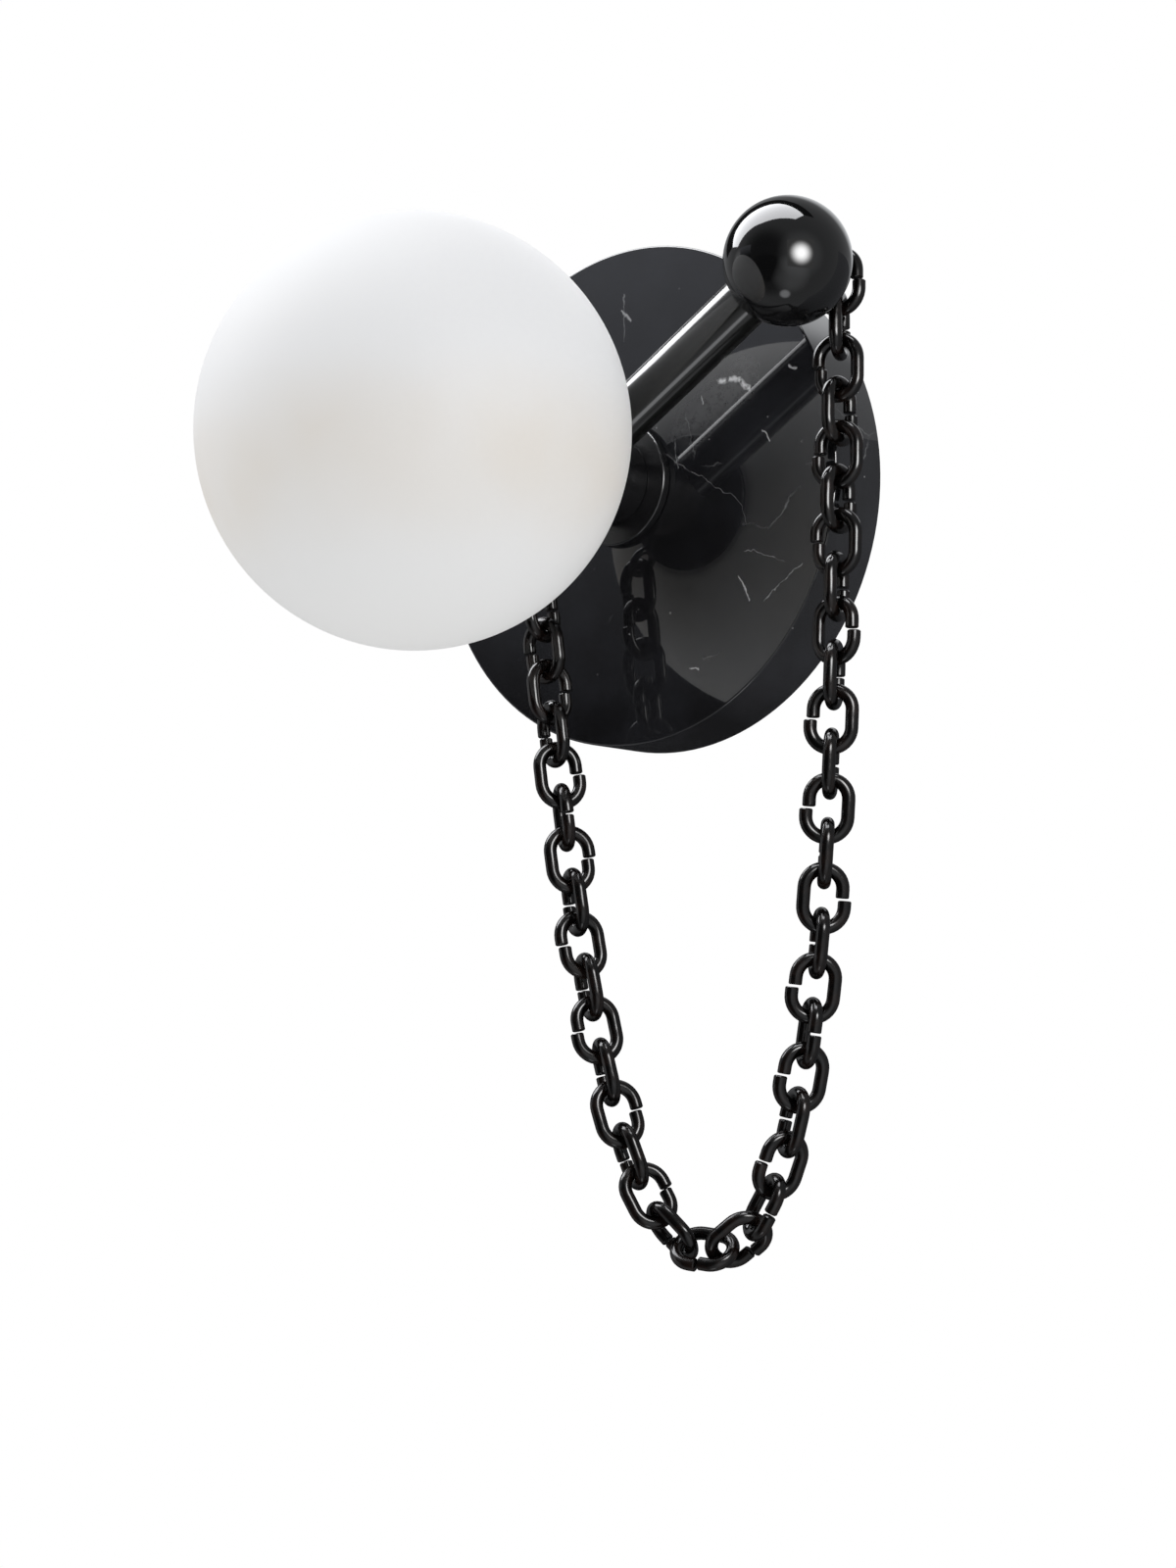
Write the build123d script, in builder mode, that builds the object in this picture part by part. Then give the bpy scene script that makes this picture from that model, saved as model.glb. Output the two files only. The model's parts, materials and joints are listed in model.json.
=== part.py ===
from build123d import *
import math
import os

# Wall sconce: a thick polished stone disc on the wall carries a turned hub.  A satin opal glass
# globe sits in front of the hub, a round rod runs from the hub up to a metal ball, and an
# open-jointed link chain hangs in a long loop from the ball's back to an eye under the hub.
# Frame: millimetres, +Z up, origin where the hub's axis meets the wall; the front faces -Y.
# "out" below is the distance from the wall, so out = -y.

os.makedirs("parts", exist_ok=True)

# ------------------------------------------------------------------ driving dimensions
FIT = 0.1                 # radial clearance of metal fits
SEAT = 0.3                # rest gap between pieces that are seated loosely

# stone disc
DISC_D = 200.0
DISC_T = 30.0
DISC_DX = 4.0             # the disc's centre lies a little right of and below the hub's axis
DISC_DZ = -5.0
DISC_EDGE_R = 0.8
RECESS_D = 112.0
RECESS_DEPTH = 18.0
STONE_BORE_D = 11.0

# wall bracket (hat section) and its fixings
BRACKET_T = 2.0
BRACKET_W = 20.0
BRACKET_L = 96.0
BRACKET_WEB_L = 48.0
BRACKET_RISE = 9.0        # clear height behind the web
BRACKET_HOLE_D = 5.0
BRACKET_HOLE_PITCH = 76.0
TAB_W = 26.0
TAB_L = 26.0
TAB_SCREW_HOLE_D = 3.2

# hollow threaded stem and its nut
STEM_D = 10.0
STEM_BORE_D = 7.0
STEM_TAIL = 1.5           # stem behind the web
STEM_IN_HUB = 14.0        # stem inside the hub body
STEM_NUT_AF = 14.0
STEM_NUT_T = 4.0
BUSH_FLANGE_T = 0.8
BUSH_WALL = 0.4
BUSH_L = 4.0

# hub
GASKET_T = 0.5
GASKET_D = 46.0
FLANGE_D = 50.0
FLANGE_T = 3.5
FLANGE_EDGE_R = 0.7
HUB_D = 34.0
HUB_L = 39.2
HUB_EDGE_R = 0.5
HUB_WIRE_BORE_D = 9.0

# rod
ROD_D = 20.0
ROD_OUT = 31.8            # rod axis in front of the stone's face
ROD_RISE_DEG = 28.8       # rod's slope above the horizontal
SOCKET_START = 5.0        # rod socket bottom, measured from the hub's axis
ROD_INTO_BALL = 8.0       # how far the rod goes past the ball's near pole
SET_SCREW_D = 5.0
SET_SCREW_AT = 11.2       # along the rod from the hub's axis
SET_SCREW_INSET = 1.0

# ball
BALL_D = 48.0
STRAND_LEAN = 0.1         # the chain leans inward by this much for each unit it hangs below the ball
STRAND_INSIDE_RIM = 1.64  # so its line crosses the hub's height this far inside the disc's rim
STUD_D = 8.0
STUD_IN_ROD = 11.0
STUD_IN_BALL = 10.0

# globe holder, lamp holder, lamp
PLATE_D = 56.0
PLATE_T = 2.2
PLATE_EDGE_R = 0.5
BOSS_D = 33.8
BOSS_WALL = 1.9
BOSS_L = 8.0
HOLDER_SCREW_D = 3.0
HOLDER_SCREW_HEAD_D = 5.4
HOLDER_SCREW_HEAD_T = 1.4
HOLDER_SCREW_L = 7.4
HOLDER_SCREW_R = 12.0     # pitch circle radius
LAMP_BASE_D = 23.0
LAMP_BASE_L = 16.0
LAMP_SCREW_D = 3.0
LAMP_SCREW_HEAD_D = 5.0
LAMP_SCREW_HEAD_T = 2.0
LAMP_SCREW_PITCH = 16.6
LAMP_SCREW_IN_HUB = 1.4
PIN_PITCH = 9.0
PIN_D = 1.2
PIN_L = 7.0
PIN_HOLE_D = 2.0
BULB_FOOT_D = 14.5
BULB_FOOT_L = 11.0
BULB_D = 16.0
BULB_L = 32.0

# globe
GLOBE_D = 160.0
GLASS_T = 3.5
GLASS_SEAT_D = 60.0       # outside of the ground flat around the opening
GLASS_HOLE_D = 39.0
GLOBE_GASKET_T = 0.4
GLOBE_GASKET_IN_D = 42.0
COLLAR_D = 38.6
COLLAR_BORE_D = 34.2
COLLAR_L = 9.0
COLLAR_LIP_D = 42.0
COLLAR_LIP_T = 1.2

# eyes that hold the chain
EYE_WIRE_D = 3.0
EYE_HOLE_D = 7.5
EYE_SHANK_D = 4.0
EYE_SHANK_IN = 7.0
HUB_EYE_DEG = 237.2       # direction from the hub's axis, seen from the front
HUB_EYE_AT = 28.8         # ring centre from the hub's axis
HUB_EYE_TURN = 0.0        # ring turned about its own shank
BALL_EYE_AZ = 5.0         # direction from the ball's centre, off the line to the wall
BALL_EYE_EL = 18.5
BALL_EYE_STANDOFF = 0.9

# chain: round-wire oval links with an open joint in one limb
LINK_WIRE_D = 5.0
LINK_W = 19.5             # outer width
LINK_L = 26.8             # outer length
LINK_GAP = 0.9            # open joint
LINK_SPLAY = 1.0          # one end of the joint stands outward by this
LINK_PLAY = 0.2           # rest gap between neighbouring wires
LINKS_LEFT = 17           # links left of the lowest one
LINKS_RIGHT = 23          # links right of it
LINK_TWIST = 45.0         # twist of the lower links about the chain's run
PIVOT_LINK = 21           # the chain swings from this link down; the two above it hang behind the ball
PIVOT_PLAY = 0.3          # extra play between it and the link above
PIVOT_SINK = 3.0          # the pivot lies this far below the upper link's bow centre
LINK_BEND_EASE = 3.4      # how much further apart the bows stand where the chain turns
TWIST_RAMP_LOW = 4        # the right strand untwists from this link
TWIST_RAMP_HIGH = 17      # to this one
TWIST_RAMP_LEFT = -12     # the left strand untwists from here up to its eye

# wiring
LEAD_D = 2.0
LEAD_PITCH = 2.8
LEAD_BEND_R = 4.0
BLOCK_W = 24.0
BLOCK_H = 13.0
BLOCK_T = 8.0
BLOCK_POLE_PITCH = 7.5
BLOCK_DROP = 33.0         # block centre below the stem
BLOCK_SCREW_D = 3.0
EARTH_SCREW_D = 4.0
EARTH_SCREW_AT = 15.0
EARTH_TAG_T = 0.8
EARTH_TAG_D = 8.0
EARTH_LEAD_BEND_R = 2.5
EARTH_LEAD_RUN = 5.5      # straight run of the earth lead below its tag
EARTH_LEAD_IN_TAG = 3.0

# ------------------------------------------------------------------ stack from the wall outward
STONE_FACE = DISC_T
FLANGE_BACK = STONE_FACE + GASKET_T
FLANGE_FACE = FLANGE_BACK + FLANGE_T
HUB_FRONT = FLANGE_FACE + HUB_L
PLATE_FRONT = HUB_FRONT + PLATE_T
GLASS_BACK = PLATE_FRONT + GLOBE_GASKET_T
GLOBE_OUT = GLASS_BACK + math.sqrt((GLOBE_D / 2) ** 2 - (GLASS_SEAT_D / 2) ** 2)
LAMP_BASE_FRONT = PLATE_FRONT + LAMP_BASE_L
ROD_AXIS_OUT = STONE_FACE + ROD_OUT
WEB_BACK = BRACKET_RISE
WEB_FRONT = WEB_BACK + BRACKET_T
STEM_BACK = WEB_BACK - STEM_TAIL
STEM_FRONT = FLANGE_FACE + STEM_IN_HUB

ROD_A = math.radians(ROD_RISE_DEG)
ROD_DIR = Vector(math.cos(ROD_A), 0, math.sin(ROD_A))
ROD_SIDE = Vector(math.sin(ROD_A), 0, -math.cos(ROD_A))
HUB_POINT = Vector(0, -ROD_AXIS_OUT, 0)
# ball centre along the rod from the hub's axis: the chain behind it hangs clear of the disc's rim
BALL_AT = (DISC_DX + DISC_D / 2 - STRAND_INSIDE_RIM) / (math.cos(ROD_A) - STRAND_LEAN * math.sin(ROD_A))
BALL_POINT = HUB_POINT + ROD_DIR * BALL_AT


def facing(out):
    """Plane parallel to the wall at a distance from it, seen from the front (x right, y up)."""
    return Plane(origin=(0, -out, 0), x_dir=(1, 0, 0), z_dir=(0, -1, 0))


def across_rod(along):
    """Plane square to the rod at a distance from the hub's axis, facing the ball."""
    return Plane(origin=HUB_POINT + ROD_DIR * along, x_dir=(0, 1, 0), z_dir=ROD_DIR)


# ------------------------------------------------------------------ stone disc
with BuildPart() as marble_disc:
    with BuildSketch(facing(0)):
        with Locations((DISC_DX, DISC_DZ)):
            Circle(DISC_D / 2)
    extrude(amount=DISC_T)
    fillet(marble_disc.edges().filter_by(GeomType.CIRCLE), radius=DISC_EDGE_R)
    with BuildSketch(facing(0)):
        Circle(RECESS_D / 2)
    extrude(amount=RECESS_DEPTH, mode=Mode.SUBTRACT)
    with BuildSketch(facing(0)):
        Circle(STONE_BORE_D / 2)
    extrude(amount=DISC_T, mode=Mode.SUBTRACT)

# ------------------------------------------------------------------ wall bracket: feet on the wall, raised web
TAB_CENTRE = -(BRACKET_W / 2 + TAB_L / 2)
with BuildPart() as wall_bracket:
    with BuildSketch(facing(0)):
        Rectangle(BRACKET_L, BRACKET_W)
    extrude(amount=BRACKET_T)
    with BuildSketch(facing(0)):
        Rectangle(BRACKET_WEB_L, BRACKET_W)
    extrude(amount=WEB_FRONT)
    with BuildSketch(facing(0)):
        Rectangle(BRACKET_WEB_L - 2 * BRACKET_T, BRACKET_W)
    extrude(amount=WEB_BACK, mode=Mode.SUBTRACT)
    with BuildSketch(facing(WEB_BACK)):
        with Locations((0, TAB_CENTRE)):
            Rectangle(TAB_W, TAB_L)
    extrude(amount=BRACKET_T)
    with BuildSketch(facing(0)):
        with GridLocations(BRACKET_HOLE_PITCH, 0, 2, 1):
            Circle(BRACKET_HOLE_D / 2)
    extrude(amount=BRACKET_T, mode=Mode.SUBTRACT)
    with BuildSketch(facing(0)):
        Circle(STEM_D / 2 + FIT)
        with Locations((0, -BLOCK_DROP)):
            Circle(TAB_SCREW_HOLE_D / 2)
        with Locations((EARTH_SCREW_AT, 0)):
            Circle(EARTH_SCREW_D / 2 + FIT)
    extrude(amount=WEB_FRONT, mode=Mode.SUBTRACT)

# ------------------------------------------------------------------ hollow stem, its nut and the cable bush
with BuildPart() as stem_tube:
    with BuildSketch(facing(STEM_BACK)):
        Circle(STEM_D / 2)
        Circle(STEM_BORE_D / 2, mode=Mode.SUBTRACT)
    extrude(amount=STEM_FRONT - STEM_BACK)

with BuildPart() as stem_nut:
    with BuildSketch(facing(WEB_FRONT)):
        RegularPolygon(STEM_NUT_AF / 2, 6, major_radius=False)
        Circle(STEM_D / 2 + FIT, mode=Mode.SUBTRACT)
    extrude(amount=STEM_NUT_T)

with BuildPart() as cable_bush:
    with BuildSketch(facing(STEM_BACK - BUSH_FLANGE_T)):
        Circle(STEM_D / 2)
    extrude(amount=BUSH_FLANGE_T)
    with BuildSketch(facing(STEM_BACK)):
        Circle(STEM_BORE_D / 2 - FIT)
    extrude(amount=BUSH_L)
    with BuildSketch(facing(STEM_BACK - BUSH_FLANGE_T)):
        Circle(STEM_BORE_D / 2 - FIT - BUSH_WALL)
    extrude(amount=BUSH_FLANGE_T + BUSH_L, mode=Mode.SUBTRACT)

# ------------------------------------------------------------------ hub gasket, flange and body
with BuildPart() as hub_gasket:
    with BuildSketch(facing(STONE_FACE)):
        Circle(GASKET_D / 2)
        Circle(STONE_BORE_D / 2, mode=Mode.SUBTRACT)
    extrude(amount=GASKET_T)

with BuildPart() as hub_flange:
    with BuildSketch(facing(FLANGE_BACK)):
        Circle(FLANGE_D / 2)
    extrude(amount=FLANGE_T)
    fillet(hub_flange.edges().filter_by(GeomType.CIRCLE).sort_by(Axis.Y)[0], radius=FLANGE_EDGE_R)
    with BuildSketch(facing(FLANGE_BACK)):
        Circle(STEM_D / 2 + FIT)
    extrude(amount=FLANGE_T, mode=Mode.SUBTRACT)

HOLDER_SCREW_START = ROD_RISE_DEG + 90     # three screws, none over the rod's socket
HUB_EYE_A = math.radians(HUB_EYE_DEG)
HUB_EYE_DIR = Vector(math.cos(HUB_EYE_A), 0, math.sin(HUB_EYE_A))
SET_SCREW_X = SET_SCREW_AT * math.cos(ROD_A)
SET_SCREW_Z = SET_SCREW_AT * math.sin(ROD_A)
with BuildPart() as hub_body:
    with BuildSketch(facing(FLANGE_FACE)):
        Circle(HUB_D / 2)
    extrude(amount=HUB_L)
    fillet(hub_body.edges().filter_by(GeomType.CIRCLE), radius=HUB_EDGE_R)
    with BuildSketch(facing(FLANGE_FACE)):
        Circle(STEM_D / 2 + FIT)
    extrude(amount=STEM_IN_HUB + SEAT, mode=Mode.SUBTRACT)
    with BuildSketch(facing(FLANGE_FACE)):
        Circle(HUB_WIRE_BORE_D / 2)
    extrude(amount=HUB_L, mode=Mode.SUBTRACT)
    # socket of the rod, open towards the ball
    with BuildSketch(across_rod(SOCKET_START)):
        Circle(ROD_D / 2 + FIT)
    extrude(amount=HUB_D, mode=Mode.SUBTRACT)
    # long set screw from the back face onto the rod
    with BuildSketch(facing(FLANGE_FACE)):
        with Locations((SET_SCREW_X, SET_SCREW_Z)):
            Circle(SET_SCREW_D / 2 + FIT)
    extrude(amount=ROD_AXIS_OUT - FLANGE_FACE, mode=Mode.SUBTRACT)
    # threaded holes of the holder screws and the lamp screws
    with BuildSketch(facing(HUB_FRONT)):
        with PolarLocations(HOLDER_SCREW_R, 3, HOLDER_SCREW_START, 180, endpoint=True):
            Circle(HOLDER_SCREW_D / 2 + FIT)
    extrude(amount=-(HOLDER_SCREW_L - PLATE_T + SEAT), mode=Mode.SUBTRACT)
    with BuildSketch(facing(HUB_FRONT)):
        with GridLocations(0, LAMP_SCREW_PITCH, 1, 2):
            Circle(LAMP_SCREW_D / 2 + FIT)
    extrude(amount=-(LAMP_SCREW_IN_HUB + SEAT), mode=Mode.SUBTRACT)
    # threaded hole of the chain eye
    with BuildSketch(Plane(origin=HUB_POINT + HUB_EYE_DIR * HUB_D, x_dir=(0, 1, 0), z_dir=-HUB_EYE_DIR)):
        Circle(EYE_SHANK_D / 2 + FIT)
    extrude(amount=HUB_D / 2 + EYE_SHANK_IN + SEAT, mode=Mode.SUBTRACT)

SET_SCREW_TIP = ROD_AXIS_OUT - ROD_D / 2
with BuildPart() as rod_set_screw:
    with BuildSketch(facing(FLANGE_FACE + SET_SCREW_INSET)):
        with Locations((SET_SCREW_X, SET_SCREW_Z)):
            Circle(SET_SCREW_D / 2)
    extrude(amount=SET_SCREW_TIP - FLANGE_FACE - SET_SCREW_INSET)

# ------------------------------------------------------------------ rod, stud and ball
ROD_START = SOCKET_START + SEAT
ROD_END = BALL_AT - BALL_D / 2 + ROD_INTO_BALL
with BuildPart() as rod:
    with BuildSketch(across_rod(ROD_START)):
        Circle(ROD_D / 2)
    extrude(amount=ROD_END - ROD_START)
    with BuildSketch(across_rod(ROD_END)):
        Circle(STUD_D / 2 + FIT)
    extrude(amount=-(STUD_IN_ROD + SEAT), mode=Mode.SUBTRACT)

with BuildPart() as ball_stud:
    with BuildSketch(across_rod(ROD_END - STUD_IN_ROD)):
        Circle(STUD_D / 2)
    extrude(amount=STUD_IN_ROD + STUD_IN_BALL)

EYE_RING_R = (EYE_HOLE_D + EYE_WIRE_D) / 2
EYE_OUTER_R = EYE_HOLE_D / 2 + EYE_WIRE_D
BALL_EYE_AT = BALL_D / 2 + EYE_OUTER_R + BALL_EYE_STANDOFF
AZ = math.radians(BALL_EYE_AZ)
EL = math.radians(BALL_EYE_EL)
BALL_EYE_DIR = Vector(math.sin(AZ) * math.cos(EL), math.cos(AZ) * math.cos(EL), math.sin(EL))
with BuildPart() as ball:
    with Locations(Location(BALL_POINT)):
        Sphere(BALL_D / 2)
    with BuildSketch(across_rod(ROD_END + SEAT)):
        Circle(ROD_D / 2 + FIT)
    extrude(amount=-BALL_D, mode=Mode.SUBTRACT)
    with BuildSketch(across_rod(ROD_END)):
        Circle(STUD_D / 2 + FIT)
    extrude(amount=STUD_IN_BALL + SEAT, mode=Mode.SUBTRACT)
    with BuildSketch(Plane(origin=BALL_POINT + BALL_EYE_DIR * BALL_D, x_dir=(1, 0, 0), z_dir=-BALL_EYE_DIR)):
        Circle(EYE_SHANK_D / 2 + FIT)
    extrude(amount=BALL_D / 2 + EYE_SHANK_IN + SEAT, mode=Mode.SUBTRACT)

# ------------------------------------------------------------------ eyes
HUB_EYE_POINT = HUB_POINT + HUB_EYE_DIR * HUB_EYE_AT
BALL_EYE_POINT = BALL_POINT + BALL_EYE_DIR * BALL_EYE_AT
TURN = math.radians(HUB_EYE_TURN)
HUB_EYE_SIDE = Vector(0, 1, 0) * math.cos(TURN) + HUB_EYE_DIR.cross(Vector(0, 1, 0)) * math.sin(TURN)
HUB_EYE_NORMAL = HUB_EYE_DIR.cross(HUB_EYE_SIDE)
BALL_EYE_NORMAL = BALL_EYE_DIR.cross(Vector(0, 0, 1)).normalized()


def lowest_of_ring(centre, normal):
    """Point of a ring's wire centreline that lies lowest."""
    down = Vector(0, 0, -1) - normal * Vector(0, 0, -1).dot(normal)
    return centre + down.normalized() * EYE_RING_R


with BuildPart() as hub_eye:
    with BuildSketch(Plane(origin=HUB_POINT + HUB_EYE_DIR * (HUB_D / 2 - EYE_SHANK_IN), x_dir=(0, 1, 0), z_dir=HUB_EYE_DIR)):
        Circle(EYE_SHANK_D / 2)
    extrude(amount=HUB_EYE_AT - EYE_RING_R - HUB_D / 2 + EYE_SHANK_IN)
    with Locations(Plane(origin=HUB_EYE_POINT, x_dir=HUB_EYE_DIR, z_dir=HUB_EYE_NORMAL).location):
        Torus(EYE_RING_R, EYE_WIRE_D / 2)

with BuildPart() as ball_eye:
    with BuildSketch(Plane(origin=BALL_POINT + BALL_EYE_DIR * (BALL_D / 2 - EYE_SHANK_IN), x_dir=(1, 0, 0), z_dir=BALL_EYE_DIR)):
        Circle(EYE_SHANK_D / 2)
    extrude(amount=BALL_EYE_AT - EYE_RING_R - BALL_D / 2 + EYE_SHANK_IN)
    with Locations(Plane(origin=BALL_EYE_POINT, x_dir=BALL_EYE_DIR, z_dir=BALL_EYE_NORMAL).location):
        Torus(EYE_RING_R, EYE_WIRE_D / 2)

# ------------------------------------------------------------------ globe holder and its screws
with BuildPart() as globe_holder:
    with BuildSketch(facing(HUB_FRONT)):
        Circle(PLATE_D / 2)
    extrude(amount=PLATE_T)
    fillet(globe_holder.edges().filter_by(GeomType.CIRCLE), radius=PLATE_EDGE_R)
    with BuildSketch(facing(PLATE_FRONT)):
        Circle(BOSS_D / 2)
        Circle(BOSS_D / 2 - BOSS_WALL, mode=Mode.SUBTRACT)
    extrude(amount=BOSS_L)
    with BuildSketch(facing(HUB_FRONT)):
        Circle(HUB_WIRE_BORE_D / 2)
        with PolarLocations(HOLDER_SCREW_R, 3, HOLDER_SCREW_START, 180, endpoint=True):
            Circle(HOLDER_SCREW_D / 2 + FIT)
        with GridLocations(0, LAMP_SCREW_PITCH, 1, 2):
            Circle(LAMP_SCREW_D / 2 + FIT)
    extrude(amount=PLATE_T, mode=Mode.SUBTRACT)
    with BuildSketch(facing(PLATE_FRONT - HOLDER_SCREW_HEAD_T - FIT)):
        with PolarLocations(HOLDER_SCREW_R, 3, HOLDER_SCREW_START, 180, endpoint=True):
            Circle(HOLDER_SCREW_HEAD_D / 2 + FIT)
    extrude(amount=HOLDER_SCREW_HEAD_T + FIT, mode=Mode.SUBTRACT)

with BuildPart() as holder_screws:
    with BuildSketch(facing(PLATE_FRONT - HOLDER_SCREW_HEAD_T)):
        with PolarLocations(HOLDER_SCREW_R, 3, HOLDER_SCREW_START, 180, endpoint=True):
            Circle(HOLDER_SCREW_HEAD_D / 2)
    extrude(amount=HOLDER_SCREW_HEAD_T)
    with BuildSketch(facing(PLATE_FRONT - HOLDER_SCREW_L)):
        with PolarLocations(HOLDER_SCREW_R, 3, HOLDER_SCREW_START, 180, endpoint=True):
            Circle(HOLDER_SCREW_D / 2)
    extrude(amount=HOLDER_SCREW_L)

# ------------------------------------------------------------------ two-pin lamp holder, its screws and the lamp
with BuildPart() as lamp_holder:
    with BuildSketch(facing(PLATE_FRONT)):
        Circle(LAMP_BASE_D / 2)
    extrude(amount=LAMP_BASE_L)
    with BuildSketch(facing(PLATE_FRONT)):
        with GridLocations(0, LAMP_SCREW_PITCH, 1, 2):
            Circle(LAMP_SCREW_D / 2 + FIT)
    extrude(amount=LAMP_BASE_L, mode=Mode.SUBTRACT)
    with BuildSketch(facing(LAMP_BASE_FRONT - LAMP_SCREW_HEAD_T - FIT)):
        with GridLocations(0, LAMP_SCREW_PITCH, 1, 2):
            Circle(LAMP_SCREW_HEAD_D / 2 + FIT)
    extrude(amount=LAMP_SCREW_HEAD_T + FIT, mode=Mode.SUBTRACT)
    with BuildSketch(facing(LAMP_BASE_FRONT - PIN_L - SEAT)):
        with GridLocations(PIN_PITCH, 0, 2, 1):
            Circle(PIN_HOLE_D / 2)
    extrude(amount=PIN_L + SEAT, mode=Mode.SUBTRACT)

LAMP_SCREW_TIP = HUB_FRONT - LAMP_SCREW_IN_HUB
with BuildPart() as lamp_holder_screws:
    with BuildSketch(facing(LAMP_BASE_FRONT - LAMP_SCREW_HEAD_T)):
        with GridLocations(0, LAMP_SCREW_PITCH, 1, 2):
            Circle(LAMP_SCREW_HEAD_D / 2)
    extrude(amount=LAMP_SCREW_HEAD_T)
    with BuildSketch(facing(LAMP_SCREW_TIP)):
        with GridLocations(0, LAMP_SCREW_PITCH, 1, 2):
            Circle(LAMP_SCREW_D / 2)
    extrude(amount=LAMP_BASE_FRONT - LAMP_SCREW_TIP)

BULB_BACK = LAMP_BASE_FRONT + SEAT
BULB_GLASS_BACK = BULB_BACK + BULB_FOOT_L
with BuildPart() as bulb_foot:
    with BuildSketch(facing(BULB_BACK)):
        RectangleRounded(BULB_FOOT_D, BULB_FOOT_D * 0.8, 2.5)
    extrude(amount=BULB_FOOT_L)

with BuildPart() as bulb_pins:
    with BuildSketch(facing(BULB_BACK - PIN_L)):
        with GridLocations(PIN_PITCH, 0, 2, 1):
            Circle(PIN_D / 2)
    extrude(amount=PIN_L)

with BuildPart() as bulb_glass:
    with BuildSketch(facing(BULB_GLASS_BACK)):
        Circle(BULB_D / 2)
    extrude(amount=BULB_L)
    fillet(bulb_glass.edges().filter_by(GeomType.CIRCLE).sort_by(Axis.Y)[0], radius=BULB_D * 0.42)

# ------------------------------------------------------------------ globe, its collar and gasket
with BuildPart() as globe_glass:
    with Locations(Location((0, -GLOBE_OUT, 0), (90, 0, 0))):
        Sphere(GLOBE_D / 2)
        Sphere(GLOBE_D / 2 - GLASS_T, mode=Mode.SUBTRACT)
    with BuildSketch(facing(GLASS_BACK)):
        Circle(GLOBE_D / 2)
    extrude(amount=-GLOBE_D / 2, mode=Mode.SUBTRACT)
    with BuildSketch(facing(GLASS_BACK)):
        Circle(GLASS_HOLE_D / 2)
    extrude(amount=GLASS_T * 2, mode=Mode.SUBTRACT)

GLASS_IN_R = GLOBE_D / 2 - GLASS_T
LIP_BACK = GLOBE_OUT - math.sqrt(GLASS_IN_R ** 2 - (COLLAR_LIP_D / 2) ** 2) + SEAT
with BuildPart() as globe_collar:
    with BuildSketch(facing(GLASS_BACK)):
        Circle(COLLAR_D / 2)
    extrude(amount=COLLAR_L)
    with BuildSketch(facing(LIP_BACK)):
        Circle(COLLAR_LIP_D / 2)
    extrude(amount=COLLAR_LIP_T)
    with BuildSketch(facing(GLASS_BACK)):
        Circle(COLLAR_BORE_D / 2)
    extrude(amount=COLLAR_L + COLLAR_LIP_T + GLASS_T, mode=Mode.SUBTRACT)

with BuildPart() as globe_gasket:
    with BuildSketch(facing(PLATE_FRONT)):
        Circle(PLATE_D / 2 - PLATE_EDGE_R)
        Circle(GLOBE_GASKET_IN_D / 2, mode=Mode.SUBTRACT)
    extrude(amount=GLOBE_GASKET_T)

# ------------------------------------------------------------------ terminal block, leads and earth
BLOCK_FRONT = WEB_BACK
BLOCK_BACK = BLOCK_FRONT - BLOCK_T
BLOCK_TOP = -BLOCK_DROP + BLOCK_H / 2
LEAD_OUT = BLOCK_BACK + BLOCK_T / 2 - 1.0
with BuildPart() as terminal_block:
    with BuildSketch(facing(BLOCK_BACK)):
        with Locations((0, -BLOCK_DROP)):
            RectangleRounded(BLOCK_W, BLOCK_H, 1.5)
        with Locations((0, -BLOCK_DROP)):
            Circle(BLOCK_SCREW_D / 2 + FIT, mode=Mode.SUBTRACT)
    extrude(amount=BLOCK_T)

with BuildPart() as block_screw:
    with BuildSketch(facing(BLOCK_BACK)):
        with Locations((0, -BLOCK_DROP)):
            Circle(BLOCK_SCREW_D / 2)
    extrude(amount=WEB_FRONT + BRACKET_T - BLOCK_BACK)

LEAD_END = PLATE_FRONT


def lead_path(sign):
    """Route of one lead: up from the block, round the bend and out through the hollow stem."""
    x0 = sign * BLOCK_POLE_PITCH / 2
    x1 = sign * LEAD_PITCH / 2
    mid = -STEM_D
    return [
        (x0, -LEAD_OUT, BLOCK_TOP),
        (x0, -LEAD_OUT, BLOCK_TOP + STEM_D / 2),
        (x1, -LEAD_OUT, mid),
        (x1, -LEAD_OUT, 0),
        (x1, -LEAD_END, 0),
    ]


with BuildPart() as live_lead:
    with BuildLine() as live_route:
        FilletPolyline(*lead_path(1), radius=LEAD_BEND_R)
    with BuildSketch(Plane(origin=live_route.line @ 0, z_dir=live_route.line % 0)):
        Circle(LEAD_D / 2)
    sweep(path=live_route.line)

with BuildPart() as neutral_lead:
    with BuildLine() as neutral_route:
        FilletPolyline(*lead_path(-1), radius=LEAD_BEND_R)
    with BuildSketch(Plane(origin=neutral_route.line @ 0, z_dir=neutral_route.line % 0)):
        Circle(LEAD_D / 2)
    sweep(path=neutral_route.line)

EARTH_TAG_FRONT = WEB_BACK
EARTH_TAG_BACK = EARTH_TAG_FRONT - EARTH_TAG_T
with BuildPart() as earth_tag:
    with BuildSketch(facing(EARTH_TAG_BACK)):
        with Locations((EARTH_SCREW_AT, 0)):
            Circle(EARTH_TAG_D / 2)
        with Locations((EARTH_SCREW_AT, -EARTH_TAG_D / 2)):
            Rectangle(LEAD_D + 1, EARTH_TAG_D)
        with Locations((EARTH_SCREW_AT, 0)):
            Circle(EARTH_SCREW_D / 2 + FIT, mode=Mode.SUBTRACT)
    extrude(amount=EARTH_TAG_T)

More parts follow.
